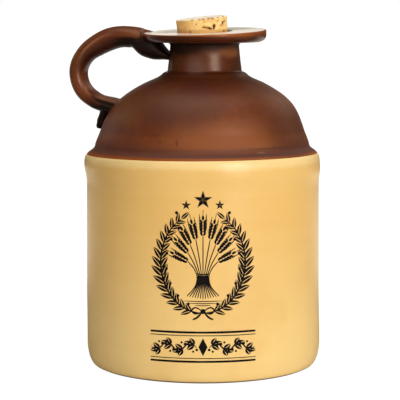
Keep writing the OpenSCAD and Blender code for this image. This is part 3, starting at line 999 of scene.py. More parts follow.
# Each row of the strap is [out, up, thickness, width, tilt in degrees] and of its tail [down, out,
# thickness, width]. All but the tilt are shares of the sizes above.
strap_shares = [
    [0.50, -0.10, 0.95, 1.15, 10], [0.67, -0.03, 0.92, 1.15, 12], [0.785, 0.027, 0.90, 1.06, 18],
    [0.863, 0.088, 0.94, 1.00, 30], [0.937, 0.182, 0.99, 0.98, 46], [0.983, 0.312, 0.99, 0.98, 68],
    [1.00, 0.478, 0.99, 1.00, 90], [0.981, 0.626, 1.07, 1.00, 112], [0.928, 0.764, 1.15, 1.00, 133],
    [0.849, 0.868, 1.29, 1.02, 152], [0.752, 0.954, 1.35, 1.06, 165], [0.656, 0.996, 1.28, 1.12, 175],
    [0.566, 0.99, 1.30, 1.22, 180], [0.502, 0.945, 1.56, 1.32, 180], [0.43, 0.898, 1.66, 1.30, 180],
    [0.385, 0.875, 1.56, 1.20, 180], [0.345, 0.82, 1.12, 1.08, 180], [0.29, 0.765, 0.62, 1.00, 180],
    [0.24, 0.745, 0.40, 0.94, 180], [0.16, 0.74, 0.36, 0.90, 180]]
wad_shares = [
    [-0.15, 0.4, 3.3, 0.85], [0.0, 0.4, 3.2, 0.96], [0.15, 0.4, 3.0, 0.92], [0.35, 0.46, 2.45, 0.84],
    [0.54, 0.58, 2.1, 0.76], [0.70, 0.54, 1.8, 0.72], [0.82, 0.44, 1.9, 0.78], [0.93, 0.34, 1.9, 0.76],
    [1.02, 0.20, 1.3, 0.58], [1.07, 0.05, 0.6, 0.34]]
print(len(strap_shares), "stations in the strap and", len(wad_shares), "in its tail")

# %% [markdown]
# Between the stations a Catmull-Rom curve fills in more rows. It passes through each row of the table, so
# the table says what the eye sees. Each row then becomes a ring, and a skin goes over all rings.

# %% Lofts through the stations
def through(table, steps):
    """A smooth curve through every row of the table, with this many steps between two rows."""
    rows = np.array(table, float)
    padded = np.concatenate([rows[:1], rows, rows[-1:]])
    made = []
    for a, b, c, d in zip(padded, padded[1:], padded[2:], padded[3:]):
        for t in np.arange(steps) / steps:
            made.append(0.5 * (2 * b + (c - a) * t + (2 * a - 5 * b + 4 * c - d) * t ** 2
                               + (3 * b - a - 3 * c + d) * t ** 3))
    return np.array([*made, rows[-1]])


def oval_ring(out, up, t, w, tilt, sides):
    """A ring of points round an oval that is a little squarer than an ellipse."""
    turn = np.linspace(0, 2 * math.pi, sides, endpoint=False)
    a, b = (np.sign(v) * np.abs(v) ** SQUARENESS / 2 for v in (np.cos(turn), np.sin(turn)))
    return np.stack([-out - a * t * math.sin(tilt), b * w, up - a * t * math.cos(tilt)], axis=1)


def skin(rings):
    """A closed mesh over rings of points, as points and faces."""
    count, sides = rings.shape[:2]
    faces = []
    for start in range(0, (count - 1) * sides, sides):
        for k in range(sides):
            on = (k + 1) % sides
            faces.append((start + k, start + on, start + sides + on, start + sides + k))
    faces += [tuple(range(sides - 1, -1, -1)), tuple((count - 1) * sides + k for k in range(sides))]
    return rings.reshape(-1, 3), faces


def shoulder_r(z):
    return np.interp(z, shoulder_outside[:, 1], shoulder_outside[:, 0])


strap_rings = []
for out, up, t, w, tilt in through(strap_shares, STRAP_STEPS):
    level = root_z + (crown_z - root_z) * up
    strap_rings.append(oval_ring(reach_out * out, level, strap_t * t, strap_w * w, math.radians(tilt), 64))
strap_rings = np.array(strap_rings)
wad_rings = []
for down, out, t, w in through(wad_shares, 6):
    level = root_z - wad_l * down
    wad_rings.append(oval_ring(shoulder_r(level) + wad_t * out, level, wad_t * t, wad_w * w, wad_tilt, 48))
wad_rings = np.array(wad_rings)
print("strap", strap_rings.shape, "tail", wad_rings.shape)

# %% [markdown]
# The strap's ends run on into the wall and the neck. They must not come out inside the jug, so points that
# lie deeper than about half the wall are lifted back to that depth. One function tells how far a point
# stands off the clay of the shoulder and the neck. It serves the lift here and the glaze of the joints
# later.

# %% How deep a point lies in the jug
ROOT_DEPTH = 2.6 * MM
FAR = 1.0
shoulder_slope = np.gradient(shoulder_outside[:, 0], shoulder_outside[:, 1])


def lean_at(z):
    return neck_off * rise(z, ledge_z, crease_z)


def slope_at(z):
    return np.interp(z, shoulder_outside[:, 1], shoulder_slope)


def stand_off(points):
    """The distance of each point from the glazed shoulder or neck, less than zero inside the clay."""
    x, y, z = points.T
    across = np.hypot(x - lean_at(z), y)
    steep = 1 / np.sqrt(1 + slope_at(z) ** 2)
    to_shoulder = np.where(z < crease_z, (across - shoulder_r(z)) * steep, FAR)
    neck_r = np.interp(z, neck_outside[:, 1], neck_outside[:, 0])
    to_neck = np.where(z > crease_z, across - neck_r, FAR)
    return np.minimum(to_shoulder, to_neck)


def outwards(points):
    """The direction that leads away from the jug's axis and up off the shoulder, at each point."""
    x, y, z = points.T
    across = np.hypot(x - lean_at(z), y)
    climb = np.where(z < crease_z, -slope_at(z), 0)
    made = np.stack([(x - lean_at(z)) / across, y / across, climb], axis=1)
    return made / np.linalg.norm(made, axis=1, keepdims=True)


def lifted(points):
    """The points, with those deeper than the root depth brought back to it."""
    for _ in range(3):
        short = np.maximum(-ROOT_DEPTH - stand_off(points), 0)
        points = points + outwards(points) * short[:, None]
    return points


def turned(points, angle):
    """The points turned about the jug's upright axis."""
    c, s = math.cos(angle), math.sin(angle)
    return points @ np.array([[c, s, 0], [-s, c, 0], [0, 0, 1]])


strap_points, strap_faces = skin(strap_rings)
wad_points, wad_faces = skin(wad_rings)
strap_points = lifted(turned(strap_points, handle_turn))
wad_points = lifted(turned(wad_points, handle_turn))
print("deepest point of the strap", round(stand_off(strap_points).min() / MM, 2), "mm")

# %% [markdown]
# A voxel remesh makes one skin of the two lofts. It's a modifier, and a Smooth modifier after it takes off
# the voxels' steps and rounds the inner corners by about a millimetre.

# %% Join the strap and its tail
VOXEL = 0.5 * MM


def joined_skin(name, parts):
    """One smooth object round several closed skins that overlap."""
    points, faces = [], []
    for part_points, part_faces in parts:
        faces += [tuple(k + len(points) for k in face) for face in part_faces]
        points += [tuple(p) for p in part_points]
    mesh = bpy.data.meshes.new(name)
    mesh.from_pydata(points, [], faces)
    obj = add_object(name, mesh)
    remesh = obj.modifiers.new("Remesh", "REMESH")
    remesh.mode = "VOXEL"
    remesh.voxel_size = VOXEL
    smooth = obj.modifiers.new("Smooth", "SMOOTH")
    smooth.factor = 0.5
    smooth.iterations = 10
    return as_plain(obj, name, math.pi)


handle = joined_skin("pulled_handle", [(strap_points, strap_faces), (wad_points, wad_faces)])

# %% [markdown]
# A point of the strap is easiest to place by its own measures: how far along the strap it lies, counted in
# the rows of its table, and how far to the inner side of the loop. The nearest point of the strap's middle
# line gives both. Other helpers read a mesh's normals, average a value over neighbouring points, make
# smooth noise, and store values on the mesh for its finish.

# %% Helpers for shaping the skin
strap_line = through(strap_shares, STRAP_STEPS)
middle = np.stack([-reach_out * strap_line[:, 0], root_z + (crown_z - root_z) * strap_line[:, 1]], axis=1)
heading = np.gradient(middle, axis=0)
heading /= np.linalg.norm(heading, axis=1, keepdims=True)
station = np.linspace(0, len(strap_shares) - 1, len(middle))


def mesh_normals(mesh):
    flat = np.empty(len(mesh.vertices) * 3)
    mesh.vertex_normals.foreach_get("vector", flat)
    return flat.reshape(-1, 3)


def carry(mesh, **values):
    """Stores one value a point on the mesh, for its finish to read."""
    for name, given in values.items():
        mesh.attributes.new(name, "FLOAT", "POINT").data.foreach_set("value", given.astype(np.float32))


def waves(points, size, seed):
    """Smooth noise from -1 to 1 at each point."""
    return np.array([noise.noise(Vector(p / size) + Vector((seed, seed, seed))) for p in points])


def on_strap(points):
    """Station along the strap and distance to the inner side of the loop."""
    spot = turned(points, -handle_turn)[:, [0, 2]]
    nearest = np.array([np.argmin(np.sum((middle - p) ** 2, axis=1)) for p in spot])
    gap = spot - middle[nearest]
    return station[nearest], gap[:, 0] * heading[nearest, 1] - gap[:, 1] * heading[nearest, 0]


def spread(mesh, values, rounds, share=0.6):
    """The values at the mesh's points, each averaged with its neighbours' this many times."""
    pairs = np.empty(len(mesh.edges) * 2, int)
    mesh.edges.foreach_get("vertices", pairs)
    first, second = pairs[::2], pairs[1::2]
    columns = []
    for column in np.reshape(values, (len(mesh.vertices), -1)).T:
        count = len(column)
        for _ in range(rounds):
            around = np.bincount(first, column[second], count) + np.bincount(second, column[first], count)
            column = (1 - share) * column + share * around / np.bincount(pairs, minlength=count)
        columns.append(column)
    return np.stack(columns, axis=1).reshape(np.shape(values))


print("the strap has", len(middle), "middle points at", len(strap_shares), "stations")

# %% [markdown]
# The potter's thumb left a groove along the front near the lower joint, with a ridge of clay beside it,
# and pressed a crease beside the rim's edge. The grooves and ridges are soft humps across the strap, each
# kept to its own stretch. Low lumps all over are what fingers leave.

# %% The thumb's groove and the crease by the rim
HAND_LUMP = 0.14 * MM
points = mesh_points(handle.data)
normals = spread(handle.data, mesh_normals(handle.data), 6)
normals /= np.linalg.norm(normals, axis=1, keepdims=True)
along_strap, inner = on_strap(points)
from_axis = np.hypot(points[:, 0] - neck_off, points[:, 1])
facing = rise(-normals[:, 1], 0.1, 0.7)
low_end = 1 - rise(along_strap, 2.1, 3.5)
groove = 1.7 * low_end * hump(inner, 2.0 * MM, 0.9 * MM)
ridge = 1.0 * rise(inner, 2.6 * MM, 4.2 * MM) * hump(along_strap, 1.4, 0.8)
ridge += 0.3 * rise(-inner, 1 * MM, 4 * MM) * hump(along_strap, 2.7, 0.7)
beside_rim = rise(points[:, 2], rim_face_z - 4.3 * MM, rim_face_z - 1.8 * MM) * (points[:, 0] < 0)
crease = 0.9 * hump(from_axis, rim_r + 0.7 * MM, 0.6 * MM)
crease += 0.2 * hump(from_axis, rim_r + 3.0 * MM, 0.7 * MM)
pushed = MM * (ridge - facing * (groove + beside_rim * crease))
points += normals * pushed[:, None]
points += normals * (HAND_LUMP * waves(points, 15 * MM, 3))[:, None]
print("pushed in by", round(-pushed.min() / MM, 2), "and out by", round(pushed.max() / MM, 2), "mm")

# %% [markdown]
# The strap's end is folded over the rim like a tongue. Clay that would stand above the dish is pressed
# down to a fold line, which lies just over the rim's dipping top and comes up at the back, where the
# tongue is thicker. The part under the rim is squeezed down a little, and a knuckle stands on the bend.

# %% The fold over the rim
rim_top = rim_top_z + (points[:, 0] - neck_off) * math.tan(rim_side_dip)
rim_top += points[:, 1] * math.tan(rim_front_dip)
at_back = rise(points[:, 1], 4 * MM, 13 * MM)
over_dish = 1 - rise(from_axis, rim_r - 1.9 * MM - 4.2 * MM * at_back, rim_r - 1.1 * MM)
fold = rim_top + (0.2 + 1.1 * at_back) * MM - 1.8 * MM * over_dish
held_down = rise(-from_axis, -rim_r - 1.5 * MM, -rim_r + 0.2 * MM)
points[:, 2] -= held_down * np.maximum(points[:, 2] - fold, 0)
under_rim = rise(-points[:, 2], -rim_face_z + 4.8 * MM, -rim_face_z + 8.8 * MM)
lowered = 0.6 * rise(-from_axis, -37 * MM, -31 * MM) + 0.5 * rise(-from_axis, -26 * MM, -21 * MM)
points[:, 2] -= MM * lowered * under_rim
knuckle = 0.8 * hump(along_strap, 12.75, 0.5) - 0.55 * hump(along_strap, 13.8, 0.5)
points[:, 2] += MM * knuckle * rise(inner, 0, 3 * MM)
set_points(handle.data, settled(spread(handle.data, points, 3, 0.5)))
print("handle reaches", np.round(points.min(0) / MM, 1), "to", np.round(points.max(0) / MM, 1))

# %% [markdown]
# The glaze of the handle follows its form. It drains off every ridge and gathers in every hollow, so the
# first measure is how hollow the skin is at each point: the mean of its neighbours, seen along its normal.
# That's averaged over the neighbours a few times, because glaze spreads out.

# %% How hollow the skin is
def hollowness(mesh, rounds):
    """How hollow the skin is at each point, in metres: more than zero in a groove, less on a ridge."""
    spots = mesh_points(mesh)
    to_neighbours = spread(mesh, spots, 1, 1.0) - spots
    return spread(mesh, np.sum(to_neighbours * mesh_normals(mesh), axis=1), rounds)


points, normals = mesh_points(handle.data), mesh_normals(handle.data)
hollow = hollowness(handle.data, 8)
print("hollow from", round(hollow.min() / MM, 3), "to", round(hollow.max() / MM, 3), "mm")

# %% [markdown]
# Glaze gathers in the hollows, the groove and the joints. Painted shade darkens the sides that look down,
# the inner side of the loop, the tail, the root and the joints, and painted shadow makes the tongue under
# the rim nearly black. It's thin and orange on the ridges. Down the front of the strap lies one pale
# painted highlight, which wanders from the inner edge near the root to the outer one near the crown: two
# short tables give where it lies and how strong it is at each station. A pale painted sheen lines the
# inner edge near the root.

# %% Glaze the handle
# Each row is [station, distance to the inner side in mm] and [station, share].
GLEAM_LINE = [[3, 1.4], [4.2, 3.4], [5, 3.3], [6, 2.4], [7, 1.0], [8, -0.5], [9, -1.9], [10, -2.6]]
GLEAM_SHARE = [[3.2, 0], [4.2, 1.0], [5, 0.6], [6, 0.1], [7, 0.1], [8.5, 0.8], [9.5, 0.8], [11, 0]]
below_root = rise(-points[:, 2], -root_z - 6 * MM, -root_z)
near_face = rise(-points[:, 2], -rim_face_z, -rim_face_z + 3.2 * MM)
in_hollow = rise(hollow, 0.002 * MM, 0.030 * MM)
on_ridge = rise(-hollow, 0.008 * MM, 0.035 * MM)
under = rise(-normals[:, 2], -0.30, 0.30) * rise(points[:, 2], root_z + 12 * MM, crown_z - 10 * MM)
in_loop = rise(inner, 1.5 * MM, 4 * MM) * rise(points[:, 2], root_z + 8 * MM, root_z + 16 * MM)
tongue = rise(along_strap, 10.2, 12.6) * near_face
# The inner edge near the root gets a pale painted sheen and less painted shade.
painted_sheen_band = low_end * rise(inner, 2.7 * MM, 3.6 * MM)
root_end = 1 - rise(along_strap, 2.6, 4.2)
in_joint = rise(-stand_off(points), -9.0 * MM, -3.0 * MM) * (1 - 0.7 * painted_sheen_band)
in_groove = low_end * facing * hump(inner, 1.9 * MM, 1.0 * MM)
in_crease = facing * beside_rim * hump(from_axis, rim_r + 0.9 * MM, 0.6 * MM)
on_tail = rise(-inner, 0.2 * MM, 2.4 * MM) * (1 - rise(along_strap, 2.2, 3.6)) * below_root
# Glaze pooled in the hollows, groove and crease; the other terms paint shade, black under the tongue.
pool = 0.6 * in_hollow + 0.8 * under + 0.3 * in_loop + 1.5 * tongue + 1.4 * in_joint + in_groove
pool += 0.7 * on_tail + 0.75 * root_end * (1 - painted_sheen_band) + 1.1 * in_crease
thin = 0.15 + 0.3 * on_ridge + 0.3 * rise(waves(points, 20 * MM, 8), -0.5, 0.6)
thin += 0.1 * hump(along_strap, 5.5, 2)
thin = np.clip(thin * (1 - 0.8 * rise(along_strap, 9, 11)) * (1 - 0.9 * root_end), 0, 1)
# A pale painted highlight down the front of the strap.
gleam_at = np.interp(along_strap, *np.transpose(GLEAM_LINE)) * MM
gleam = facing * np.interp(along_strap, *np.transpose(GLEAM_SHARE)) * hump(inner, gleam_at, 0.7 * MM)
carry(handle.data, pool=np.clip(pool, 0, 1.5), thin=thin * (1 - 0.8 * tongue),
      bare=gleam + 0.6 * painted_sheen_band, shade=0.7 * np.maximum(tongue, 0.6 * under))
handle.data.materials.clear()
handle.data.materials.append(brown)
print("glaze pools to", round(pool.max(), 2), "and is thin to", round(thin.max(), 2))

# %% [markdown]
# The cork is punched from bark. Its side shows the bark's pores as dark lens shaped pits, its top shows
# growth bands, and its edges crumble a little. The pits are real dents in a fine mesh: a cork with pits
# only in its colour looks like printed paper from close by. Each pit is an oval with a depth, and the
# same numbers that push the points in also say how dark they are.

# %% The cork
cork_low, cork_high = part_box("cork_stopper")
cork_r = 15.4 * MM
cork_l = 28 * MM
cork_show = 8.6 * MM
cork_cross = 12.4 * MM
cork_taper = math.tan(math.radians(2))
cork_chamfer = 0.6 * MM
cork_lean = Matrix.Rotation(math.radians(-5.5), 3, "Y") @ Matrix.Rotation(math.radians(2.6), 3, "X")
CORK_STEPS = 360
CORK_GRID = 0.32 * MM
# Each row is [across, below the top, length, width] in mm and a slant in radians.
FRONT_PORES = [
    [0.9, 5.0, 0.9, 0.34, 0.0], [2.6, 5.5, 0.8, 0.42, -0.3], [4.3, 6.0, 1.2, 0.6, -0.35],
    [5.5, 6.5, 0.5, 0.4, 0.0], [7.2, 5.1, 1.3, 0.9, 1.3], [7.0, 6.5, 0.5, 0.6, 1.5],
    [12.6, 3.8, 1.2, 0.7, 0.9], [13.6, 3.0, 0.8, 0.5, 0.4], [11.4, 5.2, 0.5, 0.3, 0.2],
    [9.6, 2.2, 0.5, 0.22, 0.6], [-7.6, 7.2, 0.6, 0.3, 0.0], [-3.4, 2.8, 0.35, 0.2, 0.0],
    [1.2, 2.0, 0.3, 0.2, 0.4], [-10.4, 4.6, 0.35, 0.25, 0.0], [-1.2, 0.1, 0.5, 0.35, 0.0],
    [0.7, 0.1, 0.4, 0.3, 0.0], [4.3, 0.1, 0.7, 0.4, 0.1], [6.6, 0.1, 0.8, 0.4, -0.1],
    [10.0, 0.1, 0.5, 0.4, 0.0], [13.2, 0.2, 0.5, 0.5, 0.3], [-6.0, 0.1, 0.3, 0.3, 0.0]]


def cork_rings():
    """Rings of points of a plain tapered cork about its own axis."""
    foot = cork_r - cork_l * cork_taper
    corners = [(0, 0), (foot, 0), (cork_r, cork_l), (0, cork_l)]
    profile = evenly(softened(corners, cork_chamfer, 6), CORK_GRID)
    turn = np.linspace(0, 2 * math.pi, CORK_STEPS, endpoint=False)
    rings = np.stack([profile[:, None, 0] * np.cos(turn), profile[:, None, 0] * np.sin(turn),
                      np.repeat(profile[:, None, 1], CORK_STEPS, axis=1)], axis=2)
    return rings[1:-1]


cork_points, cork_faces = skin(cork_rings())
print("plain cork:", len(cork_points), "points")

# %% [markdown]
# The pores at the front are listed one by one, because they show most. All others are drawn at random from
# a fixed seed, so the cork is the same on each run. Each point of the skin learns how deep it lies in a
# pore and in the brown surround of one.

# %% Pores of the cork
draw = np.random.default_rng(11)
SIDE_PORES = 150
TOP_PORES = 90
SURROUND = 0.8 * MM


def pore_field(points):
    """How deep each point lies in a pore and in its brown surround, both from 0 to 1."""
    x, y, z = points.T
    angle = np.arctan2(y, x)
    depth, around = np.zeros((2, len(points)))
    pits = []
    for across, below, long, wide, slant in FRONT_PORES:
        turn = math.asin(across * MM / cork_r) - math.pi / 2
        pits.append([turn, cork_l - below * MM, long * MM, wide * MM, slant])
    for _ in range(SIDE_PORES):
        turn, level = draw.uniform(-math.pi, math.pi), draw.uniform(0, cork_l)
        long, wide = draw.lognormal(-0.15, 0.55) * 0.75 * MM, draw.lognormal(0, 0.4) * 0.24 * MM
        if abs(turn + math.pi / 2) > 1.3 or level < cork_l - cork_show:
            pits.append([turn, level, long, wide, draw.normal(0, 0.35)])
    for turn, level, long, wide, slant in pits:
        along = ((angle - turn + math.pi) % (2 * math.pi) - math.pi) * cork_r
        climb = z - level
        u = along * math.cos(slant) + climb * math.sin(slant)
        v = -along * math.sin(slant) + climb * math.cos(slant)
        d = (u / long) ** 2 + (v / wide) ** 2
        depth = np.maximum(depth, np.clip(1.3 - d, 0, 1))
        near = (u / (long + SURROUND)) ** 2 + (v / (wide + SURROUND)) ** 2
        around = np.maximum(around, np.clip(1.2 - near, 0, 1) * min(1, long / MM))
    on_side = np.hypot(x, y) > 0.6 * cork_r
    return depth * on_side, around * on_side


def top_pores(points):
    """How deep each point of the cork's top lies in a pore."""
    x, y, z = points.T
    depth = np.zeros(len(points))
    for _ in range(TOP_PORES):
        px, py = draw.uniform(-cork_r, cork_r, 2)
        long, wide = draw.lognormal(0, 0.5) * 0.7 * MM, draw.lognormal(0, 0.4) * 0.26 * MM
        d = ((x - px) / long) ** 2 + ((y - py) / wide) ** 2
        depth = np.maximum(depth, np.clip(1.3 - d, 0, 1))
    return depth * (z > cork_l - 0.3 * MM)


pores, surround = pore_field(cork_points)
pores = np.maximum(pores, top_pores(cork_points))
print(round(100 * (pores > 0.5).mean(), 1), "% of the cork's points lie in a pore")

# %% [markdown]
# Last the pores and the grain push the skin in: sideways on the cork's side, down on its top. Then the
# cork is set in the mouth, leaning, with about nine millimetres of it above the rim.

# %% Set the cork in the mouth
on_top = rise(cork_points[:, 2], cork_l - 0.45 * MM, cork_l - 0.1 * MM)
radial = cork_points * [1, 1, 0]
side = rise(np.hypot(*cork_points[:, :2].T), 0.9 * cork_r, 0.97 * cork_r)
inward = -radial / np.maximum(np.linalg.norm(radial, axis=1, keepdims=True), 1e-9) * side[:, None]
inward[:, 2] -= (1 - side) * np.sign(cork_points[:, 2] - cork_l / 2)
grain = 0.5 + 0.5 * waves(cork_points, 1.1 * MM, 5)
cork_points = cork_points + inward * (0.75 * MM * pores + 0.10 * MM * grain)[:, None]
local = cork_points + [0, 0, cork_cross + cork_show - cork_l]
placed = local @ np.array(cork_lean).T + [neck_off, 0, mouth_z - cork_cross]
print("cork box", np.round(placed.min(0) / MM, 2), np.round(placed.max(0) / MM, 2),
      "solid", [round(v / MM, 2) for v in (*cork_low, *cork_high)])

# %% [markdown]
# Cork is a warm tan with a fine grain, browner in and around the pores. Its cut top is painted paler
# as light from above, its left side darker as shade, and its foot by the dish darker as shadow. It has
# no gloss at all.

# %% Cork finish
def cork_finish():
    f = Finish("Cork")
    grain = f.blotches((1.4 * MM, 1.4 * MM, 0.9 * MM), detail=6, roughness=0.65)
    bands = f.blotches((30 * MM, 5 * MM, 6 * MM), detail=3, shift=2)
    colour = f.mix(as_linear(252, 196, 112), as_linear(255, 230, 158), f.smooth_step(grain, 0.3, 0.68))
    colour = f.tint(colour, (214, 150, 76), 0.45 * f.smooth_step(bands, 0.45, 0.75))
    # Painted shade on the left side and painted shadow at the foot by the dish.
    painted_left_shade = f.smooth_step(f.along("X"), neck_off - 2 * MM, neck_off - 11 * MM)
    painted_foot_shadow = f.smooth_step(f.along("Z"), mouth_z + 2.2 * MM, mouth_z + 0.6 * MM)
    colour = f.tint(colour, (222, 152, 72), 0.4 * painted_left_shade)
    colour = f.tint(colour, (196, 138, 74), 0.6 * painted_foot_shadow)
    # Painted light on the cut top.
    colour = f.tint(colour, (255, 244, 216), 0.9 * f.attribute("top"))
    colour = f.tint(colour, (204, 122, 52), 0.6 * f.attribute("surround"))
    colour = f.tint(colour, (84, 42, 18), 0.95 * f.smooth_step(f.attribute("pore"), 0.1, 0.6))
    flecks = f.specks(2.6 * MM, 0.26 * MM, crowd=0.28)
    colour = f.tint(colour, (190, 126, 66), 0.35 * flecks)
    f.bump(grain - 0.7 * flecks, 0.12 * MM)
    return f.set(Base_Color=colour, Roughness=0.85 + 0.1 * grain, Specular_IOR_Level=0.2)


cork_mesh = bpy.data.meshes.new("natural_cork")
cork_mesh.from_pydata([tuple(p) for p in placed], [], cork_faces)
carry(cork_mesh, pore=pores, surround=surround, top=on_top)
cork = add_object("natural_cork", cork_mesh)
print("natural_cork:", len(cork_mesh.vertices), "points,", clean_mesh(cork_mesh), "open edges")
cork_mesh.materials.append(cork_finish())

# %% [markdown]
# The print on the front is a plain ornament in one black ink: a wheat sheaf in a laurel wreath, three
# stars over it, and a vine between two rules under it. It's drawn on a flat sheet in millimetres, as a
# printer's block is cut: every shape is a stroke, which is a row of points with a half width at each. A
# leaf is two swelling strokes with a bare rib between them, a star is five kites and a berry is a stroke
# as wide as it is long. Sizes in these cells are millimetres on the sheet.

# %% Strokes of the ornament
RIB = 0.16
HAIR = 0.01
STAR_WIDEST = 0.309
STAR_HALF_WIDTH = 0.2245
strokes = []


def toward(angle):
    return np.array([math.cos(angle), math.sin(angle)])


def stroke(points, half_widths):
    strokes.append(np.column_stack([points, half_widths]))


def line(path, width, blunt=0.5, steps=10):
    """A smooth stroke through a few points, pointed at both ends. A small blunt keeps its width longer."""
    points = through(path, steps)
    t = np.linspace(0, 1, len(points))
    stroke(points, width / 2 * np.sin(np.pi * np.clip(t, 0.004, 0.996)) ** blunt)


def leaf(place, angle, length, width, bend=0.35):
    t = np.linspace(0, 1, 11)
    forward, side = toward(angle), toward(angle + math.pi / 2)
    rib = place + np.outer(t * length, forward) + np.outer(bend * length * t * (1 - t), side)
    full = width / 2 * np.sin(np.pi * t ** 0.8) ** 0.8
    half = np.maximum(full - RIB, 0) / 2
    for way in (-1, 1):
        stroke(rib + way * np.outer(RIB + half, side), half)


def kite(place, angle, length, widest, half_width):
    """A stroke that is widest at this share of its length."""
    t = np.array([0, 0.5 * widest, widest, 0.5 + 0.5 * widest, 1])
    share = np.interp(t, [0, widest, 1], [0, 1, 0])
    stroke(place + np.outer(t * length, toward(angle)), half_width * share)


def star(place, radius, tips=5):
    """Kites round one centre. Each is moved out by a hair, so that no two share an edge."""
    for k in range(tips):
        angle = math.pi / 2 + 2 * math.pi * k / tips
        kite(place + HAIR * radius * toward(angle), angle, radius, STAR_WIDEST, STAR_HALF_WIDTH * radius)


def berry(place, radius):
    turn = np.linspace(0, math.pi, 9)
    stroke(place + np.outer(-np.cos(turn) * radius, [1, 0]), np.sin(turn) * radius)


def grain(place, angle, length, width):
    t = np.linspace(0, 1, 8)
    stroke(place + np.outer(t * length, toward(angle)), width / 2 * np.sin(np.pi * t ** 0.85) ** 0.7)


print("the block cutter's strokes are ready")

# %% [markdown]
# The wreath is two branches on an oval, with a pair of leaves at each station and a berry at every other
# one. Both branches come from one function, which takes the side as 1 or -1.

# %% The wreath and the stars
WREATH_CENTRE = np.array([0, 71])
WREATH_RADII = np.array([24.6, 29])


def wreath_point(turn, way):
    return WREATH_CENTRE + WREATH_RADII * [way * math.cos(turn), math.sin(turn)]


def branch(way):
    stem = [wreath_point(math.radians(a), way) for a in range(-100, 61, 16)]
    line(stem, 1.15, 0.35, 6)
    stations = np.radians(np.linspace(-74, 52, 14))
    for k, turn in enumerate(stations):
        here, ahead = wreath_point(turn, way), wreath_point(turn + 0.02, way)
        heading = math.atan2(ahead[1] - here[1], ahead[0] - here[0])
        size = 1 - 0.3 * abs(k - 6) / 7
        leaf(here, heading - way * math.radians(38), 8.8 * size, 3.5 * size, 0.16 * way)
        leaf(here, heading + way * math.radians(38), 7.8 * size, 3.2 * size, -0.16 * way)
        if k % 2:
            stalk = here + toward(heading + way * math.radians(104)) * 3.4
            line([here, (here + stalk) / 2 + 0.2, stalk], 0.4)
            berry(stalk, 0.85)
    leaf(stem[-1], heading, 6, 2.4, 0)


BOW = [(0.6, 43.4), (4.2, 45.2), (6.4, 43.6), (4.4, 41.6), (0.6, 42.6)]
RIBBON = [(0.6, 42.6), (3.2, 39.6), (6.0, 38.2)]
for way in (-1, 1):
    branch(way)
    line([(way * u, v) for u, v in BOW], 0.95, 0.3)
    line([(way * u, v) for u, v in RIBBON], 1.2, 0.4)
    star((way * 9.6, 104.0), 2.9)
    berry(np.array([way * 15.2, 99.6]), 0.9)
berry(np.array([0, 43]), 1.5)
star((0, 107.0), 5.4)
print("wreath and stars:", len(strokes), "strokes")

# %% [markdown]
# The sheaf's ears fan out from the tie. Each ear is a row of grains in pairs with bristles between them.

# %% The wheat sheaf
TIE = np.array([0, 63.5])
# Each row is [slant of the stalk in degrees, its reach, droop of the ear in degrees].
EARS = [(-46, 12.0, -17), (-33, 16.0, -11), (-22, 19.5, -7), (-11, 21.5, -3), (0, 23.0, 0),
        (11, 21.5, 3), (22, 19.5, 7), (33, 16.0, 11), (46, 12.0, 17)]


def ear(place, angle, pairs):
    for k in range(pairs):
        spot = place + toward(angle) * 1.75 * k
        size = 1 - 0.07 * abs(k - 2)
        for way in (-1, 1):
            side = toward(angle + way * math.pi / 2) * 0.32
            lean_out = angle + way * math.radians(27)
            grain(spot + side, lean_out, 3.2 * size, 1.5 * size)
            tip = spot + side + toward(lean_out) * 3.0 * size
            bristle = [toward(angle + way * 0.22) * 1.9, toward(angle + way * 0.16) * 3.6]
            line([tip, tip + bristle[0], tip + bristle[1]], 0.34, 0.5, 4)
    top = place + toward(angle) * 1.75 * pairs
    grain(top, angle, 3.3, 1.45)
    line([top + toward(angle) * 3, top + toward(angle) * 6.4], 0.34, 0.5, 6)


for slant, reach, droop in EARS:
    up = math.radians(90 - slant)
    head = TIE + toward(up) * reach
    root = TIE + [0.07 * slant, 0]
    middle = (root + head) / 2 + toward(up) * 0.4 - [0.02 * slant, 0]
    line([root, middle, head], 0.62, 0.12, 8)
    ear(head, math.radians(90 - slant - droop), 5)
for slant in np.linspace(-34, 34, 13):
    foot = TIE + [0.27 * slant, -13.5 + 0.05 * abs(slant)]
    line([TIE + [0.09 * slant, 0], TIE + [0.13 * slant, -6], foot], 0.66, 0.12, 8)
for level in (-1.0, 0.0, 1.0):
    line([TIE + [-3.9, level + 0.35], TIE + [0, level - 0.3], TIE + [3.9, level + 0.35]], 0.8, 0.2)
for half_length, level in ((11.5, 49.0), (8.5, 47.7), (4.5, 46.5)):
    line([(-half_length, level), (0, level - 0.2), (half_length, level)], 0.55, 0.6)
print("with the sheaf:", len(strokes), "strokes")

# %% [markdown]
# The vine runs out from a lozenge in the middle to both sides. Its rules are as wide as the wreath.

# %% The vine and its rules
VINE_Z = 22.3


def vine_point(u):
    return np.array([u, VINE_Z + 2.5 * math.sin((u - 4) / 13.4 * 2 * math.pi)])


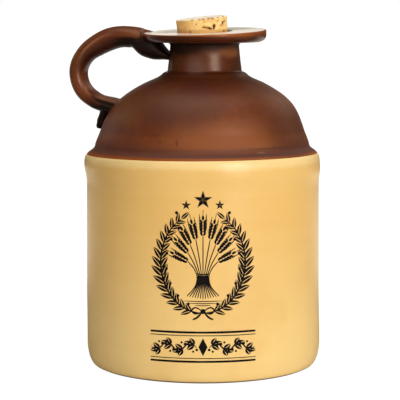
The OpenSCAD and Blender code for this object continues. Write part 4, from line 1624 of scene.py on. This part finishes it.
for way in (-1, 1):
    mirror = np.array([way, 1])
    line([vine_point(u) * mirror for u in np.arange(3.6, 31, 1.34)], 0.95, 0.3, 3)
    for k in range(4):
        crest = 4 + 13.4 * (0.25 + 0.5 * k)
        up = 1 if k % 2 == 0 else -1
        here = vine_point(crest - 2.2)
        for lean_out, length in ((14, 6.2), (58, 4.6), (-36, 5.0)):
            heading = math.radians(up * lean_out)
            heading = heading if way > 0 else math.pi - heading
            leaf(here * mirror, heading, length, 3.0, 0.14 * up * way)
        berry((here + [-1.6, -2.9 * up]) * mirror, 0.8)
        berry((here + [0.4, -3.9 * up]) * mirror, 0.65)
    for level, width in ((30.8, 1.25), (28.9, 0.5), (15.7, 0.5), (13.8, 1.25)):
        line([(way * u, level) for u in (-0.5, 8, 16, 24, 31)], width, 0.05, 8)
kite(np.array([0, VINE_Z - 5.2]), math.pi / 2, 10.4, 0.5, 2.6)
print("with the vine:", len(strokes), "strokes,", sum(len(s) for s in strokes), "points")

# %% [markdown]
# Real ink has a little thickness, so the strokes aren't painted into the glaze but laid on it. A Geometry
# Nodes tree sweeps a thin ring along each stroke, bends the flat sheet round the jug, and casts a ray at
# the wall for each point. So the ink follows every finger ring and lump of the clay under it.

# %% Ink on clay, as a Geometry Nodes tree
INK_INPUTS = {
    "Wall": ("NodeSocketObject", None),
    "Sheet radius": ("NodeSocketFloat", body_r),
    "Ink height": ("NodeSocketFloat", 0.06 * MM),
    "Ink root": ("NodeSocketFloat", 0.10 * MM),
    "Ring points": ("NodeSocketInt", 8),
    "Ink": ("NodeSocketMaterial", None),
}


def ink_tree():
    kit, wire, identifiers = new_tree("Ink on clay", INK_INPUTS)
    half = kit.node("GeometryNodeInputNamedAttribute", {"data_type": "FLOAT"}, {"Name": "half"})
    curve = kit.node("GeometryNodeMeshToCurve", None, {"Mesh": wire["Geometry"]})
    flat = kit.node("GeometryNodeSetCurveNormal", {"mode": "Z_UP"}, {"Curve": curve})
    ring = kit.node("GeometryNodeCurvePrimitiveCircle", None,
                    {"Resolution": wire["Ring points"], "Radius": 1.0})
    swept = kit.node("GeometryNodeCurveToMesh", None,
                     {"Curve": flat, "Profile Curve": ring, "Scale": half, "Fill Caps": True})
    sheet = kit.node("ShaderNodeSeparateXYZ", None, {"Vector": kit.node("GeometryNodeInputPosition")})
    over = sheet.math("SIGN", sheet.out("Z").math("SNAP", sheet.out("Z"), 0.0001 * MM))
    above, below = over.math("MAXIMUM", over, 0.0), over.math("MINIMUM", over, 0.0)
    rise_by = (above * 0.6 + 0.4) * wire["Ink height"] + below * wire["Ink root"]
    turn = sheet / wire["Sheet radius"]
    x_out, y_out = turn.math("SINE", turn), turn.math("COSINE", turn) * -1.0
    out = kit.node("ShaderNodeCombineXYZ", None, {"X": x_out, "Y": y_out, "Z": 0.0})
    start_r = wire["Sheet radius"] * 2.0
    far = kit.node("ShaderNodeCombineXYZ", None,
                   {"X": x_out * start_r, "Y": y_out * start_r, "Z": sheet.out("Y")})
    inward = kit.node("ShaderNodeVectorMath", {"operation": "SCALE"}, {"Vector": out, "Scale": -1.0})
    target = kit.node("GeometryNodeObjectInfo", None, {"Object": wire["Wall"]}, out="Geometry")
    hit = kit.node("GeometryNodeRaycast", None, {
        "Target Geometry": target, "Source Position": far, "Ray Direction": inward, "Ray Length": 1.0},
        out="Hit Position")
    lift = kit.node("ShaderNodeVectorMath", {"operation": "SCALE"}, {"Vector": out, "Scale": rise_by})
    laid = kit.node("ShaderNodeVectorMath", {"operation": "ADD"}, {0: hit, 1: lift})
    placed = kit.node("GeometryNodeSetPosition", None, {"Geometry": swept, "Position": laid})
    close_tree(kit, placed, wire["Ink"])
    return kit.tree, identifiers


def ink_finish():
    f = Finish("Print ink")
    foot_line_and_ink_wear = f.blotches(0.8 * MM, detail=4, shift=2)
    colour = f.mix(as_linear(18, 11, 13), as_linear(46, 32, 26), f.smooth_step(foot_line_and_ink_wear, 0.58, 0.85))
    return f.set(Base_Color=colour, Roughness=0.55 + 0.2 * foot_line_and_ink_wear, Specular_IOR_Level=0.14)


ends = np.cumsum([0, *(len(s) for s in strokes)])
drawn = np.concatenate(strokes) * MM
block = bpy.data.meshes.new("front_print_strokes")
block.from_pydata([(u, v, 0) for u, v in drawn[:, :2]],
                  [(i, i + 1) for a, b in zip(ends, ends[1:]) for i in range(a, b - 1)], [])
carry(block, half=drawn[:, 2])
ink, ink_ids = ink_tree()
front_print = as_plain(with_tree(block, ink, ink_ids, {"Wall": wall, "Ink": ink_finish()}), "front_print")
print("ink tree:", len(ink.nodes), "nodes; print", len(front_print.data.polygons), "faces")

# %% [markdown]
# The jug stands on a pale floor that fades into white. Its lamps light it at a plain level: the white
# comes from what the camera sees of the floor and the world, not from more light on the jug. The glaze
# mirrors only the key lamp, because the others would leave bright spots that the photograph doesn't have.

# %% Lamps
LAMPS = {
    "key": {"azimuth": 32, "elevation": 15, "away": 1.5, "wide": 0.60, "tall": 0.80, "power": 13.2},
    "side": {"azimuth": 116, "elevation": 8, "away": 1.5, "wide": 0.60, "tall": 0.60, "power": 2.6},
    "fill": {"azimuth": -26, "elevation": 38, "away": 1.5, "wide": 0.70, "tall": 0.80, "power": 5.2},
    "top": {"azimuth": 0, "elevation": 86, "away": 1.2, "wide": 0.90, "tall": 0.70, "power": 7.0}}
NOT_MIRRORED = {"side", "top", "fill"}
AIM = Vector((0, 0, 110 * MM))
WARM = (1.0, 0.90, 0.76, 1)


def lamp(name, azimuth, elevation, away, wide, tall, power):
    """A soft box that aims at the jug. Its angles are in degrees, its sizes in metres."""
    light = bpy.data.lights.new(name, "AREA")
    light.shape = "RECTANGLE"
    light.size = wide
    light.size_y = tall
    light.energy = power
    obj = add_object(name, light)
    a, e = math.radians(azimuth), math.radians(elevation)
    side = Vector((math.sin(a) * math.cos(e), -math.cos(a) * math.cos(e), math.sin(e)))
    obj.location = AIM + side * away
    obj.rotation_euler = side.to_track_quat("Z", "Y").to_euler()
    obj.visible_glossy = name not in NOT_MIRRORED


for name, values in LAMPS.items():
    lamp(name, **values)
print(len(LAMPS), "lamps aim at", tuple(AIM))

# %% [markdown]
# The world is white to the camera. Light Path tells which ray asks: a glossy one gets the studio that the
# glaze mirrors, and the rest gets the dim, warm light that fills the shadows. The studio has a low window
# behind the jug, one before it to the left, a skylight, and pale flanks at both sides.

# %% The studio around the jug
def studio_world():
    """White to the camera. The glaze sees it pale behind and above the jug and in a few soft windows."""
    world = bpy.data.worlds.new("World")
    bpy.context.scene.world = world
    world.use_nodes = True
    kit = Kit(world.node_tree)
    path = kit.node("ShaderNodeLightPath")
    way = kit.node("ShaderNodeTexCoord", out="Generated")
    axes = kit.node("ShaderNodeSeparateXYZ", None, {"Vector": way})
    x, y, z = axes, axes.out("Y"), axes.out("Z")
    behind = kit.smooth_step(y, 0.1, 0.8)
    low_window = kit.smooth_step(y, 0.94, 0.99) * kit.smooth_step(z, 0.36, 0.16)
    left_window = kit.smooth_step(y, -0.45, -0.65) * kit.smooth_step(x, 0.20, 0.10)
    skylight = kit.smooth_step(z, 0.78, 0.97)
    flanks = kit.smooth_step(x, 0.24, 0.42) + 0.5 * kit.smooth_step(x, -0.5, -0.66)
    flanks = flanks * kit.smooth_step(z, 0.20, 0.42) * kit.smooth_step(z, 0.74, 0.56)
    flanks = flanks * kit.smooth_step(y, 0.26, 0.44)
    by_tail = kit.smooth_step(x, -0.55, -0.7) * kit.smooth_step(z, 0.5, 0.3) * behind
    lit = 0.02 + 0.42 * behind
    mirrored = 0.05 + 0.05 * behind + 1.05 * low_window + 0.24 * left_window
    mirrored = mirrored + 1.3 * skylight + 0.8 * flanks + 0.5 * by_tail
    glossy, seen = path.out("Is Glossy Ray"), path.out("Is Camera Ray")
    level = path.math("MAXIMUM", seen, lit + glossy * (mirrored - lit))
    colour = kit.node("ShaderNodeMix", {"data_type": "RGBA"},
                      {0: seen, 6: WARM, 7: (1, 1, 1, 1)}, out=2)
    back = world.node_tree.nodes["Background"]
    world.node_tree.links.new(colour.socket, back.inputs["Color"])
    world.node_tree.links.new(level.socket, back.inputs["Strength"])
    return world


studio_world()
print("world:", len(bpy.context.scene.world.node_tree.nodes), "nodes")

# %% [markdown]
# The floor keeps the jug's soft shadow close by and turns white with distance. In the glaze it shows dim,
# apart from a pale stretch of table behind the jug.

# %% The floor
floor_size = 60.0
shadow_room = 0.4
table_room = 1.5


def floor_finish():
    f = Finish("Floor")
    path = f.node("ShaderNodeLightPath")
    f.set(Base_Color=(0.86, 0.86, 0.86, 1), Roughness=0.9, Specular_IOR_Level=0.0)
    white = f.node("ShaderNodeEmission", None, {"Color": (1, 1, 1, 1), "Strength": 1.1})
    away = f.vector("LENGTH", f.place, out="Value")
    far = f.smooth_step(away, 0.5 * shadow_room, 2 * shadow_room)
    shown = f.node("ShaderNodeMixShader", None, {0: path.out("Is Camera Ray") * (0.9 + 0.1 * far),
                                                 1: Wire(f, f.shader.outputs[0]), 2: white})
    near = f.smooth_step(away, table_room, 0.5 * table_room)
    rear = f.smooth_step(f.along("Y"), 0.15, 0.45)
    dim = f.node("ShaderNodeEmission", None, {"Color": WARM, "Strength": 0.03 + 1.25 * near * rear})
    shown = f.node("ShaderNodeMixShader", None, {0: path.out("Is Glossy Ray") * 0.8, 1: shown, 2: dim})
    f.tree.links.new(shown.socket, f.tree.nodes["Material Output"].inputs["Surface"])
    return f.material


floor_mesh = bpy.data.meshes.new("floor")
corners = [(x * floor_size / 2, y * floor_size / 2, 0) for x, y in ((-1, -1), (1, -1), (1, 1), (-1, 1))]
floor_mesh.from_pydata(corners, [], [(0, 1, 2, 3)])
floor = add_object("floor", floor_mesh)
floor_mesh.materials.append(floor_finish())
print("floor of", floor_size, "m")

# %% [markdown]
# Last, each piece is hung on the body it rides on, and the solids it stands for are hidden. The cork is
# the only piece that moves by itself.

# %% Ride and replace
PIECES = [
    (base, "jug", "cream_glaze", ["base_slab"]),
    (wall, "jug", "cream_glaze", ["crock_wall"]),
    (shoulder, "jug", "brown_glaze", ["shoulder_dome"]),
    (neck, "jug", "brown_glaze", ["neck_collar"]),
    (rim, "jug", "brown_glaze", ["pour_rim"]),
    (handle, "jug", "brown_glaze", ["handle_strap", "handle_wad"]),
    (front_print, "jug", "print_ink", []),
    (cork, "cork", "cork", ["cork_stopper"]),
]
for piece, body, finish_slot, stands_for in PIECES:
    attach(piece, body)
    if stands_for:
        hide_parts(*stands_for)
